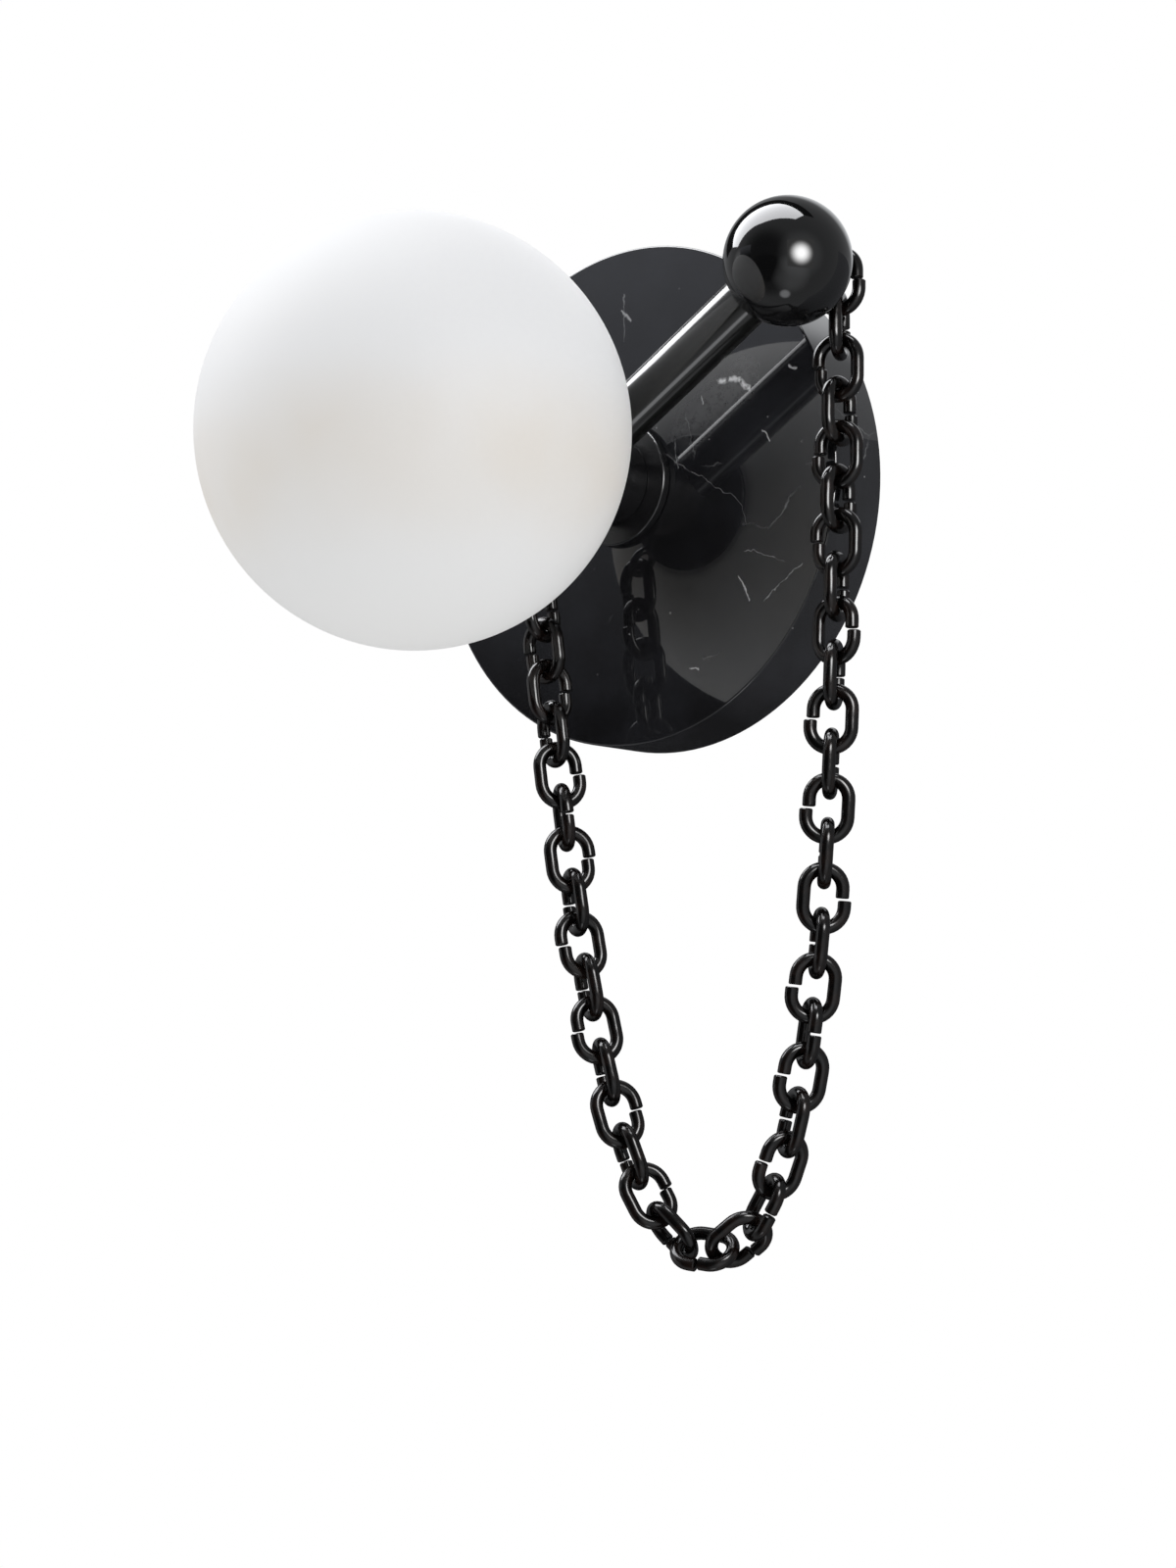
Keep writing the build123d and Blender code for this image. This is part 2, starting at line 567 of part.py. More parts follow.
with BuildPart() as earth_screw:
    with BuildSketch(facing(EARTH_TAG_BACK - 2.2)):
        with Locations((EARTH_SCREW_AT, 0)):
            Circle(EARTH_SCREW_D * 0.85)
    extrude(amount=2.2)
    with BuildSketch(facing(EARTH_TAG_BACK)):
        with Locations((EARTH_SCREW_AT, 0)):
            Circle(EARTH_SCREW_D / 2)
    extrude(amount=WEB_FRONT + BRACKET_T - EARTH_TAG_BACK)

with BuildPart() as earth_lead:
    with BuildLine() as earth_route:
        FilletPolyline(
            (BLOCK_POLE_PITCH, -LEAD_OUT, BLOCK_TOP),
            (BLOCK_POLE_PITCH, -LEAD_OUT, BLOCK_TOP + STEM_D / 2),
            (EARTH_SCREW_AT, -(EARTH_TAG_BACK - LEAD_D / 2), -EARTH_TAG_D - EARTH_LEAD_RUN),
            (EARTH_SCREW_AT, -(EARTH_TAG_BACK - LEAD_D / 2), -EARTH_TAG_D + EARTH_LEAD_IN_TAG),
            radius=EARTH_LEAD_BEND_R,
        )
    with BuildSketch(Plane(origin=earth_route.line @ 0, z_dir=earth_route.line % 0)):
        Circle(LEAD_D / 2)
    sweep(path=earth_route.line)

# ------------------------------------------------------------------ one chain link
LINK_R = (LINK_W - LINK_WIRE_D) / 2          # centreline radius of the bows
LINK_S = (LINK_L - LINK_W) / 2               # half of the straight limb
LINK_REACH = LINK_S + LINK_R                 # link centre to the wire's centre at a bow
with BuildPart() as link:
    with BuildLine() as link_line:
        Line((-LINK_R, LINK_GAP / 2), (-LINK_R, LINK_S))
        CenterArc((0, LINK_S), LINK_R, 180, -180)
        Line((LINK_R, LINK_S), (LINK_R, -LINK_S + LINK_SPLAY / 2))
        CenterArc((-LINK_SPLAY / 2, -LINK_S + LINK_SPLAY / 2), LINK_R + LINK_SPLAY / 2, 0, -180)
        Line((-LINK_R - LINK_SPLAY, -LINK_S + LINK_SPLAY / 2), (-LINK_R - LINK_SPLAY, -LINK_GAP / 2))
    with BuildSketch(Plane(origin=link_line.line @ 0, z_dir=link_line.line % 0)):
        Circle(LINK_WIRE_D / 2)
    sweep(path=link_line.line)

# ------------------------------------------------------------------ how the chain hangs
# A chain of equal heavy links hangs with the slope of link n equal to (n - lowest) / stiffness.
# Both unknowns are found from the two points that hold the chain.
HANG_LEFT = lowest_of_ring(HUB_EYE_POINT, HUB_EYE_NORMAL)
HANG_RIGHT = lowest_of_ring(BALL_EYE_POINT, BALL_EYE_NORMAL)
RUN = Vector(HANG_RIGHT.X - HANG_LEFT.X, HANG_RIGHT.Y - HANG_LEFT.Y, 0)
SPAN = RUN.length
RUN_DIR = RUN.normalized()
RISE = HANG_RIGHT.Z - HANG_LEFT.Z
END_REACH = LINK_REACH - (LINK_WIRE_D + EYE_WIRE_D) / 2 - LINK_PLAY


def hang(stiffness, lowest):
    """Centres and slopes of the links from the left eye, and the point where the last one ends."""
    slopes = [math.atan2(n - lowest, stiffness) for n in range(-LINKS_LEFT, LINKS_RIGHT + 1)]
    x = END_REACH * math.cos(slopes[0])
    z = END_REACH * math.sin(slopes[0])
    centres = [(x, z)]
    for k, (a, b) in enumerate(zip(slopes, slopes[1:])):
        play = LINK_PLAY + (PIVOT_PLAY if k - LINKS_LEFT == PIVOT_LINK else 0)
        reach = LINK_REACH - (LINK_WIRE_D + play) / 2 / math.cos((b - a) / 2) ** LINK_BEND_EASE
        x += reach * (math.cos(a) + math.cos(b))
        z += reach * (math.sin(a) + math.sin(b))
        centres.append((x, z))
    end = (x + END_REACH * math.cos(slopes[-1]), z + END_REACH * math.sin(slopes[-1]))
    return centres, slopes, end


def solve(f, low, high):
    """Root of a rising function by bisection."""
    for _ in range(60):
        mid = (low + high) / 2
        if f(mid) > 0:
            high = mid
        else:
            low = mid
    return (low + high) / 2


def lowest_for(stiffness):
    """Place of the lowest point that gives the right height difference."""
    return solve(lambda lowest: RISE - hang(stiffness, lowest)[2][1], -LINKS_LEFT, LINKS_RIGHT)


STIFFNESS = solve(lambda s: hang(s, lowest_for(s))[2][0] - SPAN, 0.05, 30.0)
LOWEST = lowest_for(STIFFNESS)
CENTRES, SLOPES, _ = hang(STIFFNESS, LOWEST)
ACROSS = Vector(0, 0, 1).cross(RUN_DIR)      # square to the chain's vertical plane, towards the wall

# Small turns that single links keep, in degrees, and the limb in which each open joint lies.
EXTRA_TURN = {23: -6, 22: 10, 20: -12, 18: -12, 15: -18, 9: 6, 7: -7, 3: 8, -5: 6, -8: -6, -11: 7}
JOINT_FLIPPED = {1, 3, 5, 7, 10, 11, 12, 13, 16, 18, 19, 20, 22, -2, -4, -5, -6, -9, -10, -11, -14}
JOINT_LOWER = {1, 4, 8, 14, 17, 21, -5, -6, -9, -12, -16}


def twist(n):
    """Turn of link n about the chain's run: neighbours stand square to each other."""
    right = min(1.0, max(0.0, (TWIST_RAMP_HIGH - n) / (TWIST_RAMP_HIGH - TWIST_RAMP_LOW)))
    left = min(1.0, max(0.0, (n + LINKS_LEFT) / (TWIST_RAMP_LEFT + LINKS_LEFT)))
    base = LINK_TWIST * min(left, right)
    return base + EXTRA_TURN.get(n, 0) - (90 if n % 2 == 0 else 0)


def link_location(n):
    """Location of link n, its long axis along the chain."""
    x, z = CENTRES[n + LINKS_LEFT]
    a = SLOPES[n + LINKS_LEFT]
    centre = HANG_LEFT + RUN_DIR * x + Vector(0, 0, z)
    along = RUN_DIR * math.cos(a) + Vector(0, 0, math.sin(a))
    side = along.cross(ACROSS)
    t = math.radians(twist(n))
    normal = ACROSS * math.cos(t) + side * math.sin(t)
    if n in JOINT_FLIPPED:
        normal = -normal
    if n in JOINT_LOWER:
        along = -along
    return Plane(origin=centre, x_dir=along.cross(normal), z_dir=normal).location


RUNS = {
    "chain_left_upper": (-17, -14),
    "chain_left_middle": (-13, -10),
    "chain_left_lower": (-9, -6),
    "chain_left_bend": (-5, -3),
    "chain_bottom_left": (-2, -1),
    "chain_bottom_link": (0, 0),
    "chain_bottom_right": (1, 2),
    "chain_right_bend": (3, 5),
    "chain_right_lower": (6, 9),
    "chain_right_middle": (10, 13),
    "chain_right_upper": (14, 17),
    "chain_right_top": (18, 21),
    "chain_anchor_links": (22, 23),
}
chains = {}
for node, (first, last) in RUNS.items():
    with BuildPart() as run:
        for n in range(first, last + 1):
            with Locations(link_location(n)):
                add(link.part)
    chains[node] = run.part

# pivots of the swinging chain: the left eye's wire and the bow above that the pivot link hangs in
PIVOT_A = HANG_LEFT + Vector(0, 0, EYE_RING_R)
UPPER_SLOPE = SLOPES[PIVOT_LINK + 1 + LINKS_LEFT]
PIVOT_B = link_location(PIVOT_LINK + 1).position
PIVOT_B = PIVOT_B - (RUN_DIR * math.cos(UPPER_SLOPE) + Vector(0, 0, math.sin(UPPER_SLOPE))) * (LINK_S + PIVOT_SINK)
print("stiffness", round(STIFFNESS, 4), "lowest", round(LOWEST, 4), "span", round(SPAN, 2))
print("pivots mm", tuple(round(v, 3) for v in PIVOT_A), tuple(round(v, 3) for v in PIVOT_B))
print("globe centre out", round(GLOBE_OUT, 2), "ball", tuple(round(v, 2) for v in BALL_POINT))
for n in (-17, -16, -8, 0, 1, 13, 21, 22, 23):
    print("link", n, tuple(round(v, 2) for v in link_location(n).position))

# ------------------------------------------------------------------ export
marble_disc.part.label = "marble_disc"
export_step(marble_disc.part, "parts/marble_disc.step")
wall_bracket.part.label = "wall_bracket"
export_step(wall_bracket.part, "parts/wall_bracket.step")
stem_tube.part.label = "stem_tube"
export_step(stem_tube.part, "parts/stem_tube.step")
stem_nut.part.label = "stem_nut"
export_step(stem_nut.part, "parts/stem_nut.step")
cable_bush.part.label = "cable_bush"
export_step(cable_bush.part, "parts/cable_bush.step")
hub_gasket.part.label = "hub_gasket"
export_step(hub_gasket.part, "parts/hub_gasket.step")
hub_flange.part.label = "hub_flange"
export_step(hub_flange.part, "parts/hub_flange.step")
hub_body.part.label = "hub_body"
export_step(hub_body.part, "parts/hub_body.step")
rod_set_screw.part.label = "rod_set_screw"
export_step(rod_set_screw.part, "parts/rod_set_screw.step")
rod.part.label = "rod"
export_step(rod.part, "parts/rod.step")
ball_stud.part.label = "ball_stud"
export_step(ball_stud.part, "parts/ball_stud.step")
ball.part.label = "ball"
export_step(ball.part, "parts/ball.step")
hub_eye.part.label = "hub_eye"
export_step(hub_eye.part, "parts/hub_eye.step")
ball_eye.part.label = "ball_eye"
export_step(ball_eye.part, "parts/ball_eye.step")
globe_holder.part.label = "globe_holder"
export_step(globe_holder.part, "parts/globe_holder.step")
holder_screws.part.label = "holder_screws"
export_step(holder_screws.part, "parts/holder_screws.step")
lamp_holder.part.label = "lamp_holder"
export_step(lamp_holder.part, "parts/lamp_holder.step")
lamp_holder_screws.part.label = "lamp_holder_screws"
export_step(lamp_holder_screws.part, "parts/lamp_holder_screws.step")
bulb_foot.part.label = "bulb_foot"
export_step(bulb_foot.part, "parts/bulb_foot.step")
bulb_pins.part.label = "bulb_pins"
export_step(bulb_pins.part, "parts/bulb_pins.step")
bulb_glass.part.label = "bulb_glass"
export_step(bulb_glass.part, "parts/bulb_glass.step")
globe_glass.part.label = "globe_glass"
export_step(globe_glass.part, "parts/globe_glass.step")
globe_collar.part.label = "globe_collar"
export_step(globe_collar.part, "parts/globe_collar.step")
globe_gasket.part.label = "globe_gasket"
export_step(globe_gasket.part, "parts/globe_gasket.step")
terminal_block.part.label = "terminal_block"
export_step(terminal_block.part, "parts/terminal_block.step")
block_screw.part.label = "block_screw"
export_step(block_screw.part, "parts/block_screw.step")
live_lead.part.label = "live_lead"
export_step(live_lead.part, "parts/live_lead.step")
neutral_lead.part.label = "neutral_lead"
export_step(neutral_lead.part, "parts/neutral_lead.step")
earth_tag.part.label = "earth_tag"
export_step(earth_tag.part, "parts/earth_tag.step")
earth_screw.part.label = "earth_screw"
export_step(earth_screw.part, "parts/earth_screw.step")
earth_lead.part.label = "earth_lead"
export_step(earth_lead.part, "parts/earth_lead.step")
for node, part in chains.items():
    part.label = node
    export_step(part, f"parts/{node}.step")
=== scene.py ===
import json
import logging
import math
from dataclasses import dataclass, field
from enum import Enum
from typing import Callable

import bpy
from mathutils import Matrix, Vector

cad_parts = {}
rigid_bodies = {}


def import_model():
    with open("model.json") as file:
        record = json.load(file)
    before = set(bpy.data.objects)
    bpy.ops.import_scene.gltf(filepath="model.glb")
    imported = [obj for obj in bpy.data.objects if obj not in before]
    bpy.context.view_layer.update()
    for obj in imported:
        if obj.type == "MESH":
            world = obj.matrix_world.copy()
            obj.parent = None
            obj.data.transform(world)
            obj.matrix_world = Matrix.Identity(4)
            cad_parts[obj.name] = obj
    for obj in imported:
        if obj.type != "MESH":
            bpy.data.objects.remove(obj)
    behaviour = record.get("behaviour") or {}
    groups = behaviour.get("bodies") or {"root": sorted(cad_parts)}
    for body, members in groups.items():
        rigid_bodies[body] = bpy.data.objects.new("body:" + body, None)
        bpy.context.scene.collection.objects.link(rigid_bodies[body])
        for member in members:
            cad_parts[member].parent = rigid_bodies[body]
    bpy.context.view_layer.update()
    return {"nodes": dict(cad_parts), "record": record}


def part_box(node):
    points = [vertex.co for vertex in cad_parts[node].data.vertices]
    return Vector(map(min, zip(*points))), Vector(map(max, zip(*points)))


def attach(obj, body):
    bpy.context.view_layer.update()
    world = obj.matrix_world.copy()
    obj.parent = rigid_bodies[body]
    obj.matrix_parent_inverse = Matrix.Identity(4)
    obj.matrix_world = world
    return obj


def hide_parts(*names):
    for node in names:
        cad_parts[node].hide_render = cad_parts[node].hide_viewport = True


# Looks of the wall sconce: a polished black marble disc, an opal glass globe on a turned hub, a
# rod that rises to a gloss black ball, and a loop of open-jointed black links.  Blender is in
# metres; sizes are written in millimetres and multiplied by MM.  "Out" is the distance from the
# wall, so a point lies at y = -out.

Tree, Node, Socket = bpy.types.NodeTree, bpy.types.Node, bpy.types.NodeSocket
Object, Material = bpy.types.Object, bpy.types.Material
Source = Node | Socket
Pair = tuple[float, float]

MM = 0.001
UP = Vector((0, 0, 1))
WELD = 0.002  # points closer than this are one, in mm
CAP_BORDER, CAP_SHARE = 1.2, 0.2  # border round a closed end: at most this many mm, and this share of its radius
log = logging.getLogger("sconce")

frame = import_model()


class Body(Enum):
    """The rigid bodies that the pieces of this script ride on."""

    FRAME = "frame"
    GLOBE = "globe"
    CHAIN = "chain"


# ------------------------------------------------------------------ small tools


def linear(code: str) -> tuple[float, float, float, float]:
    """Turns an sRGB hex colour into the linear colour that a shader takes.

    Args:
        code: six hex digits, with or without a leading #.

    Returns:
        Linear red, green, blue and an alpha of 1.
    """
    digits = code.lstrip("#")
    shares = [int(digits[i:i + 2], 16) / 255 for i in (0, 2, 4)]
    red, green, blue = (s / 12.92 if s <= 0.04045 else ((s + 0.055) / 1.055) ** 2.4 for s in shares)
    return red, green, blue, 1.0


def add_node(tree: Tree, kind: str, inputs: dict | tuple = (), **settings: object) -> Node:
    """Adds one node with its settings and links.

    Args:
        tree: the node tree that takes it.
        kind: the node's type without its prefix, such as Math.
        inputs: for each input a value, a source socket, or a node whose first output in use is taken; by name or
            number, or as a tuple in the node's own order.
        **settings: the node's own properties.

    Returns:
        The new node.
    """
    node = tree.nodes.new("ShaderNode" + kind)
    for name, value in settings.items():
        setattr(node, name, value)
    for key, value in inputs.items() if isinstance(inputs, dict) else enumerate(inputs):
        if isinstance(value, Node):
            value = next(output for output in value.outputs if output.enabled)
        if isinstance(value, Socket):
            tree.links.new(value, node.inputs[key])
        else:
            node.inputs[key].default_value = value
    return node


def fresh_tree(owner: Material | bpy.types.World) -> Tree:
    """Gives a material or a world an empty node tree."""
    owner.use_nodes = True
    owner.node_tree.nodes.clear()
    return owner.node_tree


def deselect() -> None:
    """Leaves edit mode and selects nothing."""
    if bpy.context.object and bpy.context.object.mode != "OBJECT":
        bpy.ops.object.mode_set(mode="OBJECT")
    bpy.ops.object.select_all(action="DESELECT")


def pick(piece: Object) -> None:
    """Selects one piece and nothing else."""
    deselect()
    piece.select_set(True)
    bpy.context.view_layer.objects.active = piece


def edit(piece: Object, kind: str = "FACE") -> None:
    """Opens a piece in edit mode with nothing in it selected.

    Args:
        piece: the piece to edit.
        kind: VERT, EDGE or FACE.
    """
    pick(piece)
    bpy.ops.object.mode_set(mode="EDIT")
    bpy.ops.mesh.select_mode(type=kind)
    bpy.ops.mesh.select_all(action="DESELECT")


def place(piece: Object, matrix: Matrix) -> None:
    """Moves a piece and applies that move to its mesh, so the object stays at the origin.

    Args:
        piece: a piece whose object sits at the origin.
        matrix: where it goes.
    """
    pick(piece)
    piece.matrix_world = matrix
    bpy.ops.object.transform_apply(location=True, rotation=True, scale=True)


def smooth(piece: Object, angle: float = 35.0) -> None:
    """Turns all faces outwards and shades a piece smooth up to an angle.

    Args:
        piece: the piece.
        angle: edges sharper than this, in degrees, stay crisp.
    """
    edit(piece)
    bpy.ops.mesh.select_all(action="SELECT")
    bpy.ops.mesh.remove_doubles(threshold=WELD * MM)
    bpy.ops.mesh.normals_make_consistent(inside=False)
    bpy.ops.object.mode_set(mode="OBJECT")
    bpy.ops.object.shade_smooth_by_angle(angle=math.radians(angle))


def axes(origin: Vector, x_way: Vector, z_way: Vector) -> Matrix:
    """Place whose local Z runs along z_way and local X along x_way.

    Args:
        origin: the place's origin, in metres.
        x_way: direction of local X, square to z_way.
        z_way: direction of local Z.

    Returns:
        The matrix of that place.
    """
    z = z_way.normalized()
    x = x_way.normalized()
    y = z.cross(x)
    return Matrix.Translation(origin) @ Matrix((x, y, z)).transposed().to_4x4()


def out_from_wall() -> Matrix:
    """Place at the origin whose local Z points out of the wall."""
    return axes(Vector(), Vector((1, 0, 0)), Vector((0, -1, 0)))


@dataclass(frozen=True)
class Ring:
    """One ring of a turned shape: its distance along the axis and its radius, in millimetres."""

    along: float
    radius: float


def arc_rings(along: float, bend: float, start: float, end: float, steps: int) -> list[Ring]:
    """Rings of a round stretch of a turned outline, with its centre on the axis.

    Args:
        along: place of the round's centre along the axis.
        bend: radius of the round itself.
        start: first angle in degrees, 0 square to the axis and 90 along it.
        end: last angle.
        steps: number of stretches.

    Returns:
        The rings from start to end, both included.
    """
    turns = [math.radians(start + (end - start) * k / steps) for k in range(steps + 1)]
    return [Ring(along + bend * math.sin(t), bend * math.cos(t)) for t in turns]


def turn(name: str, rings: list[Ring], where: Matrix, sides: int = 96, capped: bool = True) -> Object:
    """Turns a shape on its axis, as on a lathe, ring by ring.

    Args:
        name: the piece's name.
        rings: the outline, from one end to the other. A radius of 0 ends in a pole.
        where: place of the axis; local Z runs along it.
        sides: facets round the axis.
        capped: True closes an end whose radius isn't 0 with a flat face.

    Returns:
        The finished mesh object, with its place in its mesh.
    """
    deselect()
    first = rings[0]
    bpy.ops.mesh.primitive_circle_add(
        vertices=sides, radius=first.radius * MM, fill_type="NOTHING", location=(0, 0, first.along * MM)
    )
    piece = bpy.context.object
    piece.name = name
    piece.data.name = name
    bpy.ops.object.transform_apply(location=True, rotation=True, scale=True)
    edit(piece, "EDGE")
    bpy.ops.mesh.select_all(action="SELECT")
    if capped:
        cap_selected(first)
    for last, ring in zip(rings, rings[1:]):
        bpy.ops.mesh.extrude_edges_move(TRANSFORM_OT_translate={"value": (0, 0, (ring.along - last.along) * MM)})
        if ring.radius == 0:
            bpy.ops.mesh.merge(type="CENTER")
            break
        share = ring.radius / last.radius
        bpy.ops.transform.resize(value=(share, share, 1), center_override=(0, 0, ring.along * MM))
    if capped and rings[-1].radius > 0:
        cap_selected(rings[-1])
    smooth(piece)
    place(piece, where)
    return piece


def cap_selected(ring: Ring) -> None:
    """Closes the selected loop with a face that has a narrow border, and selects the loop again.

    Args:
        ring: the loop's place and radius.
    """
    bpy.ops.mesh.edge_face_add()
    bpy.ops.mesh.select_mode(type="FACE")
    bpy.ops.mesh.inset(thickness=min(CAP_BORDER, ring.radius * CAP_SHARE) * MM, depth=0)
    bpy.ops.mesh.select_more()
    bpy.ops.mesh.region_to_loop()


# ------------------------------------------------------------------ finishes


@dataclass(frozen=True)
class Finish:
    """A surface finish. A subclass says in dress() what its shader's sockets take."""

    name: str

    def dress(self, tree: Tree, point: Socket) -> dict:
        """Works out the shader's inputs.

        Args:
            tree: the material's node tree.
            point: place on the surface, in metres.

        Returns:
            Value or socket for each of the shader's inputs.
        """
        raise NotImplementedError

    def build(self) -> Material:
        """Makes the material.

        Returns:
            The node-based material.
        """
        material = bpy.data.materials.new(self.name)
        tree = fresh_tree(material)
        point = add_node(tree, "TexCoord").outputs["Object"]
        shader = add_node(tree, "BsdfPrincipled", self.dress(tree, point))
        add_node(tree, "OutputMaterial", {"Surface": shader})
        return material


def per_mm(spacing: float) -> float:
    """Scale of a texture whose features are this many millimetres apart."""
    return 1 / (spacing * MM)


@dataclass(frozen=True)
class Cloud:
    """A cloudy texture: how far apart its features lie in mm, its detail, its roughness and its swirl."""

    spacing: float
    detail: float = 2.0
    roughness: float = 0.5
    swirl: float = 0.0

    def at(self, point: Source) -> dict:
        """The texture's inputs at a place on the surface."""
        look = {"Detail": self.detail, "Roughness": self.roughness, "Distortion": self.swirl}
        return {"Vector": point, "Scale": per_mm(self.spacing), **look}


@dataclass(frozen=True)
class Vein:
    """A calcite vein on the marble's face: its two ends (x, z) in mm, its width and its strength."""

    start: Pair
    end: Pair
    width: float
    strength: float


@dataclass(frozen=True)
class PolishedMarble(Finish):
    """Black marble, sawn, ground and polished: nearly black, mirror-smooth, with thin white veins.

    The back and the recess are left sawn, so they are greyer and matt.
    """

    name: str = "polished_black_marble"
    ground: str = "#19191b"
    cloud: str = "#27282c"
    calcite: str = "#dcdde0"
    sawn: str = "#3a3b3d"
    recess_radius: float = 56.0
    recess_depth: float = 18.0
    veins: tuple[Vein, ...] = (
        Vein((51.0, 31.5), (58.0, 31.2), 2.0, 1.0),
        Vein((57.5, 31.2), (66.0, 26.2), 1.6, 1.0),
        Vein((34.0, 16.0), (62.0, 31.0), 13.0, 0.06),
        Vein((23.6, 8.7), (59.3, -18.6), 0.22, 0.24),
        Vein((59.3, -18.6), (62.0, -27.0), 0.18, 0.18),
        Vein((24.0, 8.0), (40.0, -4.0), 0.3, 0.18),
        Vein((5.4, 77.0), (4.6, 58.0), 0.5, 0.22),
        Vein((3.5, 70.0), (8.0, 65.5), 0.7, 0.5),
        Vein((70.5, 9.0), (74.0, 3.5), 0.5, 0.75),
        Vein((57.0, -46.0), (60.5, -56.0), 0.5, 0.6),
        Vein((68.0, -58.0), (86.0, -46.0), 0.25, 0.3),
        Vein((60.0, -36.0), (78.0, -44.0), 0.2, 0.3),
        Vein((31.0, -78.0), (35.5, -79.5), 0.6, 0.5),
        Vein((84.0, 31.5), (87.0, 30.0), 0.7, 0.7),
        Vein((41.0, 28.0), (42.5, 24.5), 0.5, 0.6),
        Vein((28.0, 14.0), (29.5, 2.0), 0.35, 0.35),
    )

    # textures of the stone: how its veins waver and break up, where it shows hairlines and haze, how it was sawn
    waver: Cloud = Cloud(9.0, 3.0, 0.6)
    waver_reach: float = 6.0
    breaks: Cloud = Cloud(3.2, 4.0, 0.7)
    regions: Cloud = Cloud(34.0)
    haze: Cloud = Cloud(48.0, 5.0, 0.62)
    saw: Cloud = Cloud(0.9, 4.0)
    hairline_spacing: float = 62.0
    grain_spacing: float = 9.0
    hairline_width: float = 0.006
    hairline_strength: float = 0.25
    grain_sizes: Pair = (0.03, 0.06)
    grain_strength: float = 0.4
    polish: Pair = (0.03, 0.62)
    sawn_margin: float = 0.2
    back_depth: float = 0.05

    def vein_mask(self, tree: Tree, point: Source, vein: Vein) -> Node:
        """Strength of one vein at each point of the face.

        Args:
            tree: the material's node tree.
            point: wavering place on the face, in metres, with y flattened.
            vein: the vein.

        Returns:
            Node that gives 0 off the vein and up to the vein's strength on it.
        """
        start = Vector((vein.start[0] * MM, 0, vein.start[1] * MM))
        run = Vector((vein.end[0] * MM, 0, vein.end[1] * MM)) - start
        offset = add_node(tree, "VectorMath", (point, start), operation="SUBTRACT")
        share = add_node(tree, "VectorMath", (offset, run / run.length_squared), operation="DOT_PRODUCT")
        held = add_node(tree, "Clamp", (share,))
        along = add_node(tree, "VectorMath", {0: run, "Scale": held}, operation="SCALE")
        away = add_node(tree, "VectorMath", (offset, along), operation="DISTANCE")
        fade = (away, 0.0, vein.width * MM, vein.strength, 0.0)
        return add_node(tree, "MapRange", fade, interpolation_type="SMOOTHSTEP")

    def calcite_mask(self, tree: Tree, point: Source, wavering: Source) -> Node:
        """Where white calcite shows: hairlines, single grains and the drawn veins.

        Args:
            tree: the material's node tree.
            point: place on the surface, in metres.
            wavering: the same place, pushed about as the veins waver.

        Returns:
            Node that gives 0 for plain stone and up to 1 for calcite.
        """
        # hairline cracks filled with calcite, each seen only here and there
        regions = add_node(tree, "TexNoise", self.regions.at(point))
        net = {"Vector": wavering, "Scale": per_mm(self.hairline_spacing)}
        cracks = add_node(tree, "TexVoronoi", net, feature="DISTANCE_TO_EDGE")
        hairline = add_node(tree, "MapRange", (cracks, 0.0, self.hairline_width, self.hairline_strength, 0.0))
        seen = add_node(tree, "MapRange", (regions, 0.56, 0.72))
        strongest = add_node(tree, "Math", (hairline, seen), operation="MULTIPLY")

        # single grains, about half a millimetre wide
        cells = {"Vector": point, "Scale": per_mm(self.grain_spacing)}
        grain = add_node(tree, "TexVoronoi", cells, feature="F1")
        grain = add_node(tree, "MapRange", (grain, *self.grain_sizes, self.grain_strength, 0.0))
        sparse = add_node(tree, "MapRange", (regions, 0.5, 0.6))
        grain = add_node(tree, "Math", (grain, sparse), operation="MULTIPLY")
        strongest = add_node(tree, "Math", (strongest, grain), operation="MAXIMUM")

        # the drawn veins lie on the face and break up along their length
        on_face = add_node(tree, "VectorMath", (wavering, (1, 0, 1)), operation="MULTIPLY")
        broken = add_node(tree, "TexNoise", self.breaks.at(point))
        broken = add_node(tree, "MapRange", (broken, 0.36, 0.5, 0.12, 1.0))
        for vein in self.veins:
            mask = add_node(tree, "Math", (self.vein_mask(tree, on_face, vein), broken), operation="MULTIPLY")
            strongest = add_node(tree, "Math", (strongest, mask), operation="MAXIMUM")
        return strongest

    def sawn_mask(self, tree: Tree, point: Source) -> Node:
        """Where the stone is left sawn: the back face and the recess, nearer the wall than the polished rim.

        Args:
            tree: the material's node tree.
            point: place on the surface, in metres.

        Returns:
            Node that gives 1 on sawn faces and 0 on polished ones.
        """
        out = add_node(tree, "SeparateXYZ", (point,)).outputs["Y"]
        across = add_node(tree, "VectorMath", (point, (1, 0, 1)), operation="MULTIPLY")
        radius = add_node(tree, "VectorMath", (across,), operation="LENGTH")
        near_axis = add_node(tree, "Math", (radius, (self.recess_radius + self.sawn_margin) * MM), operation="LESS_THAN")
        deep = add_node(tree, "Math", (out, -(self.recess_depth + self.sawn_margin) * MM), operation="GREATER_THAN")
        recess = add_node(tree, "Math", (near_axis, deep), operation="MULTIPLY")
        back = add_node(tree, "Math", (out, -self.back_depth * MM), operation="GREATER_THAN")
        return add_node(tree, "Math", (recess, back), operation="MAXIMUM")

